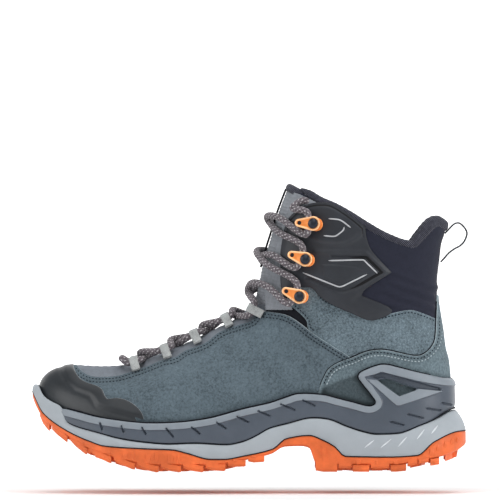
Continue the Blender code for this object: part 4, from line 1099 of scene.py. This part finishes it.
def ground(x):
    return line(GROUND_LINE, x)


def outsole_rim(x):
    return line(OUTSOLE_LINE, x)


def tread(x):
    return np.minimum(ground(x) + LUG, outsole_rim(x) - 2.6)


def flare(side, toe, heel):
    """An offset that differs at the toe, along the sides and round the heel."""
    return lambda x: side + (toe - side) * (1 - smooth(-148, -105, x)) + (heel - side) * smooth(95, 139, x)


def between(a, b, c, s):
    """A quadratic bend between three offsets."""
    return lambda x: a(x) * (1 - s) ** 2 + 2 * b(x) * s * (1 - s) + c(x) * s * s


def midsole_top(x):
    return np.where(x < -129, line(RIM_LINE, x), line(FRAME_LINE, x))


def make_midsole():
    low, middle, top = flare(4.9, 4.5, 11.4), flare(6.2, 4.7, 10.4), flare(4.2, 3.5, 4.6)
    rings = [ring(flare(1.2, 0.8, 7.4), lambda x: tread(x) + 3), ring(flare(4.4, 4.1, 11.0), lambda x: outsole_rim(x) + 0.3)]
    for s in np.linspace(0, 1, 9):
        rings.append(ring(between(low, middle, top, s),
                          lambda x, s=s: outsole_rim(x) + 0.9 + (midsole_top(x) - outsole_rim(x) - 1.1) * s))
    rings.append(ring(flare(3.6, 2.9, 4.0), lambda x: midsole_top(x) + 0.25))
    rings.append(ring(flare(1.4, 0.8, 1.7), lambda x: midsole_top(x) + 0.25))
    rings.append(ring(lambda x: np.where(x < -129, 0.4, -0.5), lambda x: board_height(x) - 3.7))
    points, faces = ring_shape(rings)
    place(make_mesh("midsole_body", points, faces, [FINISH["midsole"]]), "midsole_foam", "midsole")
    wall = BVHTree.FromPolygons([Vector(p) for p in points], faces)
    parts = []
    for (ax, az), (bx, bz) in (((79.5, 16.8), (86.1, 22)), ((90.7, 16.8), (98, 22.7)), ((102.6, 17.4), (108.6, 24)),
                               ((115.9, 22.7), (121.1, 29.3)), ((126, 26.5), (130.5, 32))):
        for side in (-1, 1):
            rail, ups = [], []
            for s in np.linspace(0, 1, 7):
                hit, normal, _, _ = wall.ray_cast(Vector((ax + (bx - ax) * s, side * 150, az + (bz - az) * s)), Vector((0, -side, 0)))
                rail.append(hit)
                ups.append(normal)
            parts.append(sweep(rail, lambda s: oval(0.55 * math.sin(math.pi * (0.1 + 0.8 * s)), 0.3, 8), ups))
    place(gather("midsole_ribs", parts, [FINISH["slash"]]), "midsole_foam")


def wall_reach(x):
    """Half the sole's width at its wall, from the boot's centre line."""
    foot = line(FOOT_HALF, x) * rounded(HEEL_X - x, 42, 2.25) * rounded(x - TOE_X, 60, 2.2)
    return float(foot + flare(4.9, 4.4, 11.6)(x))


def side_lug(front, rear, side, ramp=2.9, lift=0.0, tall=4.6):
    """A lug at the edge of the tread: a ramp from the front down to a steep rear face."""
    points = []
    for share, drop in ((0, 1.0), (0.35, 0.42), (0.9, 0.0), (1.0, 0.06)):
        x = front + (rear - front) * share
        low = float(ground(x)) + ramp * drop + lift
        top = max(min(low + tall, float(outsole_rim(x)) - 0.9), low + 1.5)
        y = float(centre(x)) + side * (wall_reach(x) - 0.2)
        inner = y - side * 13.5
        points += [(x, inner, low), (x, y - side * 1.4, low), (x, y + side * 0.2, low + 1.7), (x, y + side * 0.2, top),
                   (x, inner, top + 1.5)]
    faces = [(0, 1, 2, 3, 4), (19, 18, 17, 16, 15)]
    faces += [(5 * k + i, 5 * k + 5 + i, 5 * k + 5 + (i + 1) % 5, 5 * k + (i + 1) % 5) for k in range(3) for i in range(5)]
    return points, faces if side > 0 else [f[::-1] for f in faces]


def wall_rib(wall, x, low, high, side, wide=1.3, lean=0.0):
    """A raised rib up the sole's wall."""
    rail, ups = [], []
    for s in np.linspace(0, 1, 5):
        start = Vector((x + lean * s, side * 150, low + (high - low) * s))
        hit, normal, _, _ = wall.ray_cast(start, Vector((0, -side, 0)))
        if hit is None:
            hit, normal, _, _ = wall.find_nearest(Vector((start.x, side * 12, start.z)))
        rail.append(hit)
        ups.append(normal)
    return sweep(rail, lambda s: oval(wide, 0.75 * (1 - abs(2 * s - 1) ** 4), 8, 0.6), ups)


def block(cx, cy, length, width, slant, rise=5.6):
    points = []
    for lift, grow in ((0, 0.86), (rise, 1.1)):
        for sx, sy in ((-1, -1), (1, -1), (1, 1), (-1, 1)):
            px, py = sx * length / 2 * grow, sy * width / 2 * grow
            x = cx + px * math.cos(slant) - py * math.sin(slant)
            points.append((x, cy + px * math.sin(slant) + py * math.cos(slant), float(ground(x)) + lift))
    return points, [(3, 2, 1, 0), (4, 5, 6, 7), (0, 1, 5, 4), (1, 2, 6, 5), (2, 3, 7, 6), (3, 0, 4, 7)]


def bevelled(obj, width):
    modifier = obj.modifiers.new("bevel", "BEVEL")
    modifier.width, modifier.segments, modifier.limit_method = width * MM, 2, "ANGLE"
    modifier.angle_limit = math.radians(35)
    return obj


def make_outsole():
    rings = [ring(flare(1.5, 1.0, 7.5), tread), ring(flare(4.0, 3.7, 10.8), lambda x: tread(x) + 0.6)]
    for s in (0, 0.5, 1):
        rings.append(ring(flare(4.8, 4.4, 11.5), lambda x, s=s: tread(x) + 1.5 + (outsole_rim(x) - tread(x) - 2.1) * s))
    rings.append(ring(flare(4.4, 4.1, 11.1), lambda x: outsole_rim(x) + 0.1))
    rings.append(ring(flare(2.2, 2.1, 8.8), lambda x: outsole_rim(x) + 0.1))
    rings.append(ring(flare(1.6, 1.2, 7.8), lambda x: tread(x) + 2.9))
    points, faces = ring_shape(rings)
    place(make_mesh("outsole_body", points, faces, [FINISH["rubber"]]), "orange_rubber", "outsole")
    wall = BVHTree.FromPolygons([Vector(p) for p in points], faces)
    parts = []
    rears = (-148.6, -139.8, -127.1, -113.3, -96.2, -79.8, -63.4, -47.9, -32.4, -17, -3, 10)
    for side in (-1, 1):
        for before, rear in zip(rears, rears[1:]):
            parts.append(side_lug(before + 1.7, rear, side, 2.4 if rear < -120 else 2.9))
            if rear > -120:
                high = float(outsole_rim(rear)) - 1.2
                parts.append(wall_rib(wall, rear - 1.4, float(ground(rear)) + 1, high, side))
                parts.append(wall_rib(wall, rear - 8.2, float(ground(rear)) + 1.8, high - 0.8, side, 1.8, 1.5))
        parts.append(side_lug(45.6, 60.5, side, 0.1, 0.0, 12))
        parts.append(side_lug(71.5, 82.8, side, 0.1))
        parts.append(side_lug(97.8, 108.4, side, 0.1))
        parts.append(side_lug(125.4, 131.5, side, 0.3, -0.6))
        parts.append(side_lug(136, 142, side, 0.3))
        for front, rear in ((61.5, 70.5), (84, 96.5), (109.5, 116), (117, 124)):
            parts.append(side_lug(front, rear, side, 0.1, 2.3))
        for k, x in enumerate((125.5, 130.5, 135.5, 140, 144)):
            low = float(outsole_rim(x)) - 7.5
            parts.append(wall_rib(wall, x, low, low + 5.2 - 0.3 * k, side, 1.5, 0.8))
        for x in (52, 76, 88, 102, 112):
            parts.append(wall_rib(wall, x, 3.5, float(outsole_rim(x)) - 1.5, side, 1.6, -1.2))
    for k in range(1, 9):
        x = -130 + 14.2 * k
        for side in (-1, 1):
            parts.append(block(x + 4, float(centre(x)) + side * 9.5, 7.6, 15, side * 0.42))
            if 2 <= k <= 7:
                parts.append(block(x - 2, float(centre(x)) + side * 25.5, 6.6, 8, side * 0.5))
    for x in (56, 70, 84, 98):
        parts += [block(x + 3, side * 9, 8.6, 13, -side * 0.35) for side in (-1, 1)]
        parts.append(block(x - 4, 0, 4.2, 7, 0))
    parts += [block(141, 0, 8, 16, 0), block(117, 9, 9, 12, 0.3), block(117, -9, 9, 12, -0.3)]
    lugs = bevelled(gather("outsole_lugs", parts, [FINISH["rubber"]], 30), 0.5)
    place(lugs, "orange_rubber")


SLITS = (
    ((-102.2, 33.9), (-101, 29.7)), ((-88.4, 31.9), (-86.9, 28.0)), ((-74.3, 30.9), (-71.8, 26.6)),
    ((-58, 30.3), (-53.4, 24.7)), ((-41, 31.4), (-35.6, 26.8)), ((-24, 34.6), (-17.6, 30.4)),
    ((-9.5, 38.6), (-1.8, 34.6)), ((5, 42.4), (13.6, 38.8)), ((20.9, 47), (30.6, 43.1)),
    ((36.5, 49.8), (44.7, 46.1)), ((98, 34.6), (106, 32.5)), ((109.2, 39.9), (118.4, 37.3)),
    ((121.1, 43.9), (129.7, 42.5)), ((131, 47.5), (137, 46)),
)
TOP_BAND = curved(FRAME_EDGE)
FRAME_RECESS = np.array([(83, 66.4), (91.5, 69.7), (99.4, 67.4), (112.6, 63.4), (131.5, 57.8), (129.7, 55.9),
                         (119, 57.2), (115.8, 57.6), (92, 65.3), (88.5, 64)])
FRAME_RING = np.array([(81.6, 64.3), (101.6, 46.2), (103.5, 46.2), (119, 51.6), (131, 56), (116.5, 57.7),
                       (103.3, 52.4), (88.4, 63.6)])


def slit_distance(x, z):
    return np.min([near(np.array(s), x, z) for s in SLITS], axis=0)


def wall_sheet():
    """The surface round the sole's walls and heel that the frame lies on."""
    heights = np.arange(78.5, 16.5, -1.15)
    fore = np.arange(-129, 92, 1.3)
    turn = np.linspace(0, math.pi / 2, 64)[1:]
    columns = []
    for side in (-1, 1):
        rows = []
        for z in heights:
            row = []
            for x in fore:
                level = max(z, float(board_height(x)) + 0.6)
                spot, _ = on_side(x, level, side)
                row.append((spot.x, spot.y, z))
            level = max(z, 39.0)
            back = float(line(BACK_LINE, level))
            x = 92 + (back - 92) * np.sin(turn)
            reach = half_width(x, level, 60.0, 60.0)
            row += list(zip(x, centre(x) + side * reach, np.full(len(x), z)))
            rows.append(row)
        columns.append(np.array(rows))
    outer, inner = columns
    joined = np.concatenate([outer, inner[:, -2::-1]], axis=1)
    return grid_sheet(joined.transpose(1, 0, 2))


def make_frame():
    """The stabiliser: a bevelled band along its top, slits below it, and a bridge with a window."""
    sheet = wall_sheet()
    bottom = [(x, float(line(FRAME_LINE, x)) + 0.7 + 1.2 * float(smooth(125, 136, x))) for x in np.linspace(156, -126.5, 60)]
    outline = np.array([*TOP_BAND, (160, 64.4), *bottom, (-131, 43.4)])
    window = np.array(FRAME_WINDOW)

    def field(p):
        return np.minimum(inside(outline, p[:, 0], p[:, 2]), -inside(window, p[:, 0], p[:, 2]))

    def band(p):
        x, z = p[:, 0], p[:, 2]
        strut = bell(near(((86.5, 50), (75, 65)), x, z), 3.5)
        width = 4.3 + 1.3 * smooth(80, 92, x) * smooth(56, 62, z) - 2.3 * strut
        return np.maximum(width - near(TOP_BAND, x, z), inside(FRAME_RING, x, z))

    recess = lambda p: inside(FRAME_RECESS, p[:, 0], p[:, 2])
    slit = lambda p: 0.45 - slit_distance(p[:, 0], p[:, 2])
    sheet = sheet.keep(field(sheet.points))
    for function in (lambda p: field(p) - 0.5, lambda p: field(p) - 1.3, band, lambda p: band(p) + 0.7, recess,
                     lambda p: recess(p) - 0.8, slit, lambda p: slit(p) + 0.45):
        sheet, _ = sheet.split(function(sheet.points))
    p = sheet.points
    edge = np.maximum(field(p), 0)
    edge[np.unique(sheet.rim())] = 0
    main = 3.35 + 0.75 * (1 - smooth(44, 62, p[:, 2]))
    on_band = smooth(-0.8, 0.1, band(p))
    high = main + 0.75 * on_band * (0.25 + 0.75 * smooth(0.4, 4.4, edge))
    high -= 1.5 * smooth(0, 0.8, recess(p)) + 1.1 * smooth(-0.45, 0, slit(p)) * (slit(p) > -0.46)
    high -= 0.9 * (1 - rounded(edge, 1.3, 2.2))
    high -= 2.2 * smooth(118, 136, p[:, 0]) * (1 - rounded(edge, 7.0, 2.2))
    spots = p[sheet.faces].mean(1)
    which = np.where(band(spots) > 0, 1, 0)
    # painted shade: the recess and the slits take the darker copy of the frame plastic
    which = np.where((recess(spots) > 0) | (slit(spots) > 0), 2, which)
    frame_piece = thick("frame_shell", sheet, 1.6, high, [FINISH["frame"], FINISH["bevel"], FINISH["recess"]], which, 30)
    place(frame_piece, "frame_plastic", "stabiliser_frame")


def make_footbed():
    rings = [
        ring(flare(-6.4, -15.0, -6.6), lambda x: board_height(x) - 0.5, 90),
        ring(flare(-6.0, -14.6, -6.2), lambda x: board_height(x) + 2.0, 90),
        ring(flare(-6.4, -15.0, -6.6), lambda x: board_height(x) + 4.4, 90),
        ring(flare(-8.4, -17.0, -9.0), lambda x: board_height(x) + 4.6, 90),
        ring(flare(-12.0, -20.0, -15.0), lambda x: board_height(x) + 3.6, 90),
    ]
    place(make_mesh("footbed_pad", *ring_shape(rings), [FINISH["footbed"]]), "footbed_foam", "footbed", body="footbed")


# ---- hooks, loops and the lace -----------------------------------------------------------------
def teardrop(grow, length=13.0):
    """The hook's outline: round at the rivet, narrowing to a blunt tip; grow moves it outwards."""
    back = [(-(4.8 + grow) * math.cos(a), (4.8 + grow) * math.sin(a)) for a in np.linspace(-1.75, 1.75, 19)]
    tip = [(length - 2.5 + (2.5 + grow) * math.cos(a), (2.5 + grow) * math.sin(a)) for a in np.linspace(1.25, -1.25, 11)]
    return back + tip


def stacked(levels, place, along, width, normal):
    """Points and faces of a solid through outlines at heights: levels are (outline, height)."""
    points = [place + along * a + width * w + normal * n for outline, n in levels for a, w in outline]
    count = len(levels[0][0])
    faces = [tuple(range(count)), tuple(range(len(points) - 1, len(points) - count - 1, -1))]
    for k in range(len(levels) - 1):
        for i in range(count):
            j = (i + 1) % count
            faces.append((k * count + j, k * count + i, (k + 1) * count + i, (k + 1) * count + j))
    return points, faces


def make_hook(word, number, rivet, tip, side):
    """A lace hook: a bent plate in the outline of a teardrop, with a pale painted highlight on its raised rim, a hole
    and a rivet.
    """
    place_point, normal = on_side(*rivet, side, 1.7)
    ahead = on_side(*tip, side, 1.7)[0] - place_point
    along = (ahead - normal * ahead.dot(normal)).normalized()
    width = normal.cross(along)
    axes = (place_point, along, width, normal)
    clip = lambda outline, most: [(min(a, most), w) for a, w in outline]
    base = stacked([(teardrop(-0.5), -0.6), (teardrop(-0.2), 0.0), (teardrop(-0.2), 0.7), (teardrop(-0.6), 1.1)], *axes)
    body = stacked([(clip(teardrop(-1.1), 2.6), 0.6), (clip(teardrop(-1.5), 2.3), 4.2), (clip(teardrop(-1.1), 2.6), 8)], *axes)
    levels = [(teardrop(-1.0), 7.4), (teardrop(-0.1), 7.6), (teardrop(0.25), 8.1), (teardrop(0.2), 8.7),
              (teardrop(-0.15), 9.05), (teardrop(-0.55), 9.1), (teardrop(-1.0), 8.8), (teardrop(-1.35), 8.6)]
    points, faces = stacked(levels, *axes)
    count = len(levels[0][0])
    # painted highlight: the faces of the raised rim take the lighter copy of the hook's paint
    kinds = [0, 0] + [1 if 1 < k < 6 else 0 for k in range(len(levels) - 1) for _ in range(count)]
    plate = gather(f"hook_plate_{word}_{number}", [(points, faces, kinds)], [FINISH["hook"], FINISH["hook_rim_highlight"]], 40)
    drill_shape = turned([(1.5, -3), (1.5, 3)], place_point + along * 10.0 + normal * 8.3, normal)
    drill = gather("hook_drill", [drill_shape], [FINISH["rivet"]])
    cut = plate.modifiers.new("hole", "BOOLEAN")
    cut.object, cut.operation, cut.solver = drill, "DIFFERENCE", "EXACT"
    apply_modifiers(plate)
    bpy.data.objects.remove(drill)
    place(plate, "hook_paint")
    foot = gather(f"hook_foot_{word}_{number}", [base, body], [FINISH["hook"]], 40)
    place(foot, "hook_paint", f"lace_hook_{word}_{number}")
    dome = [(2.0, 5.0), (2.0, 8.5), (3.45, 8.7), (3.6, 9.2), (3.3, 9.8), (2.4, 10.25), (1.2, 10.5), (0.3, 10.55)]
    eye = turned([(1.45, 7.3), (1.45, 8.3)], place_point + along * 10.0, normal)
    rivet_head = gather(f"rivet_{word}_{number}", [turned(dome, place_point, normal), eye], [FINISH["rivet"]], 45)
    place(rivet_head, "rivet_steel", f"lace_hook_rivet_{word}_{number}")
    return place_point + along * (3.2 + LACE / 2 + 0.4) + normal * 4.35, width


def apply_modifiers(obj):
    """Keeps the mesh that the object's modifiers make, and drops them."""
    evaluated = obj.evaluated_get(bpy.context.evaluated_depsgraph_get())
    obj.data = bpy.data.meshes.new_from_object(evaluated)
    obj.modifiers.clear()


def make_webbing(word, number, spot_at, side):
    """A webbing loop round the lace, sewn down on the quarter's edge."""
    spot, normal = on_side(*spot_at, side, 0.9)
    inward = Vector((0, -side, 0))
    inward = (inward - normal * inward.dot(normal)).normalized()
    along = normal.cross(inward)
    bend = [(3.0 * math.sin(a), 3.05 - 3.0 * math.cos(a)) for a in np.linspace(0.2, math.pi - 0.2, 9)]
    arc = [(-8.6, -0.15), (-6, 0.05), (-3, 0.05), *bend, (-2.2, 5.7), (-4.6, 4.0), (-6.8, 1.9), (-9.4, 0.6)]
    rail = [spot + inward * (a + 4) + normal * (n + 0.45) for a, n in even(curved(arc, 3), 0.5)]
    width = lambda s: oval(3.0 + 0.07 * math.cos(s * 90), 0.5, 16, 0.55)
    strap = sweep(rail, width, np.cross(np.gradient(np.array(rail), axis=0), along))
    place(make_mesh(f"webbing_{word}_{number}", *strap, [FINISH["webbing"]]), "loop_webbing", f"lace_loop_{word}_{number}")
    return spot + inward * 4 + normal * 3.5, along


def make_fastening():
    holds = {}
    for side, word in ((-1, "outer"), (1, "inner")):
        hooks = [make_hook(word, k, rivet, tip, side) for k, (rivet, tip) in enumerate(HOOK_ROWS, 1)]
        loops = [make_webbing(word, k, spot, side) for k, spot in enumerate(LOOP_ROWS, 1)]
        holds[side] = [*loops[::-1], *hooks[::-1]]
    halves = [lace_half(holds, side) for side in (1, -1)]
    start = holds[1][0][0]
    bar = [Vector((start.x - 8.5, y, start.z + 1.6)) for y in (9.5, -1.0, -11.5)]
    make_lace(halves[0][::-1] + bar + halves[1])


def lace_half(holds, side):
    """Half of the lace's route, from the lowest row to its tip, changing sides at each row."""

    def lifted(point, height):
        spot, normal, _, _ = SKIN.find_nearest(point)
        return spot + normal * height

    route = []
    for row in range(len(holds[side])):
        spot, direction = holds[side][row]
        reach = 7.6 if row >= len(LOOP_ROWS) else 4.2
        direction = direction * (reach if direction.z > 0 else -reach)
        route += [spot - direction, spot + direction]
        if row + 1 == len(holds[side]):
            break
        other = holds[-side][row + 1][0]
        over = 5.0 * ((row + (side > 0)) % 2)
        low = 1.3 if row + 1 < len(LOOP_ROWS) else 0.9
        crossing = lifted((spot + other) / 2 + Vector((-8, 0, 8)), low) + Vector((-0.55, 0, 0.83)) * over
        if row + 1 >= len(LOOP_ROWS):
            route += [lifted((route[-1] + crossing) / 2, 3.2 + over / 3), crossing,
                      lifted((other + crossing) / 2, 3.2 + over / 3)]
        else:
            route.append(crossing)
        side = -side
    route.append(on_side(33, 182, side, 5.2)[0])
    tail = [(36.5, 30.0, 188.5), (42.0, 29.6, 186.5), (47.0, 28.0, 179), (51, 25.5, 169), (53, 24.5, 156), (54, 24, 143)]
    return route + [Vector((px, side * py - 1.4, pz)) for px, py, pz in tail]


def make_lace(route):
    """One braided cord through all the hooks and loops, with its relief and flecks in the mesh."""
    rail = even(curved([tuple(p) for p in route], 6), 0.55)
    run = np.gradient(rail, axis=0)
    run /= np.linalg.norm(run, axis=1)[:, None]
    up = np.array([0.3, 0.0, 1.0])
    ups = []
    for direction in run:
        up = up - direction * up.dot(direction)
        up = up / np.linalg.norm(up)
        ups.append(up)
    sides, turns = 24, 0.8
    angle = np.linspace(0, 2 * math.pi, sides, endpoint=False)
    flecks = []

    def section(s):
        k = s * (len(rail) - 1)
        left, right = np.cos(5 * angle + k * turns), np.cos(5 * angle - k * turns)
        braid = np.maximum(left, right)
        flecks.append(smooth(0.55, 0.9, right) * (1 - smooth(-0.5, 0.2, left)) * 0.9)
        radius = LACE / 2 * (0.97 + 0.09 * braid)
        return np.stack([radius * np.cos(angle), radius * np.sin(angle)], 1)

    points, faces = sweep(rail, section, ups)
    values = np.concatenate(flecks[1:])
    cord = make_mesh("lace_cord", points, faces, [FINISH["lace"]], sharp=80, attributes={"fleck": values})
    place(cord, "lace_cord", "lace")


def make_pull_loop():
    """The webbing pull loop at the back, hanging on its two sewn ends."""
    path = even(curved(PULL_LOOP, 6), 0.6)
    rail = np.column_stack([path[:, 0], np.zeros(len(path)), path[:, 1]])
    out = np.cross(np.gradient(rail, axis=0), (0, 1, 0))

    def section(s):
        taper = 1 - smooth(0, 0.12, s) + smooth(0.88, 1, s)
        return oval(4.0 - 1.5 * taper + 0.05 * math.cos(s * 160), 0.6, 18, 0.5)

    loop = make_mesh("pull_loop_strap", *sweep(rail, section, out), [FINISH["strap"]])
    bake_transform(loop)
    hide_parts("pull_loop")


# ---- picture -----------------------------------------------------------------------------------
def studio_paper():
    """White paper that glows behind the boot, as a lit backdrop does."""
    f = Finish("studio_paper", 0.9, Specular_IOR_Level=0.1)
    f.colour(f.ramp(f.noise(3, 3), *around((0.92, 0.92, 0.92), 0.01)))
    depth = f.add("ShaderNodeSeparateXYZ", {"Vector": f.place}).outputs["Y"]
    glow = f.add("ShaderNodeMapRange", {"Value": depth, "From Min": 0.35, "From Max": 1.9, "To Max": 0.95})
    f.tree.links.new(glow.outputs["Result"], f.shader.inputs["Emission Strength"])
    f.shader.inputs["Emission Color"].default_value = (1, 1, 1, 1)
    return f.material


def make_stage():
    """A pale floor that turns up into a backdrop, a long lens and soft studio lights."""
    profile = [(-6, 0), (4.8, 0), (5.4, 0.12), (5.8, 0.5), (6, 1.2), (6, 4)]
    smooth_profile = curved(profile, 6)
    points = [(x, y, z - 0.0004) for y, z in smooth_profile for x in (-6.0, 6.0)]
    faces = [(2 * k, 2 * k + 1, 2 * k + 3, 2 * k + 2) for k in range(len(smooth_profile) - 1)]
    mesh = bpy.data.meshes.new("studio")
    mesh.from_pydata(points, [], faces)
    mesh.shade_smooth()
    mesh.materials.append(studio_paper())
    studio = bpy.data.objects.new("studio", mesh)
    bpy.context.scene.collection.objects.link(studio)
    lamps = (("key", (-0.45, -1.7, 1.35), 1.2, 8), ("top", (0.0, -0.35, 1.9), 1.4, 19),
             ("left", (-1.45, -0.6, 0.55), 0.9, 9), ("right", (1.45, -0.6, 0.6), 0.9, 14), ("rear", (0.2, 1.2, 1.5), 1.0, 8))
    for name, spot, size, power in lamps:
        light = bpy.data.lights.new(name, "AREA")
        light.size, light.energy = size, power
        lamp = bpy.data.objects.new(name, light)
        lamp.location = spot
        lamp.rotation_euler = (Vector((0, 0, 0.08)) - Vector(spot)).to_track_quat("-Z", "Y").to_euler()
        bpy.context.scene.collection.objects.link(lamp)
    world = bpy.data.worlds.new("studio")
    world.use_nodes = True
    world.node_tree.nodes["Background"].inputs["Color"].default_value = (1, 1, 1, 1)
    world.node_tree.nodes["Background"].inputs["Strength"].default_value = 0.26
    bpy.context.scene.world = world
    lens = bpy.data.cameras.new("camera")
    lens.lens = 500
    lens.sensor_width = 36
    camera = bpy.data.objects.new("camera", lens)
    camera.location = (0, -4.861, 0.154)
    camera.rotation_euler = (math.pi / 2, 0, 0)
    bpy.context.scene.collection.objects.link(camera)
    bpy.context.scene.camera = camera
    bpy.context.scene.view_settings.view_transform = "Standard"


def main():
    dress_cad_nodes()
    make_toe_cap()
    ankle_and_sides()
    make_heel_panel()
    make_collar()
    make_throat()
    make_tongue()
    make_midsole()
    make_outsole()
    make_frame()
    make_footbed()
    make_fastening()
    make_pull_loop()
    make_stitching()
    make_seam_shadows()
    make_silver_lines()
    make_stage()


main()
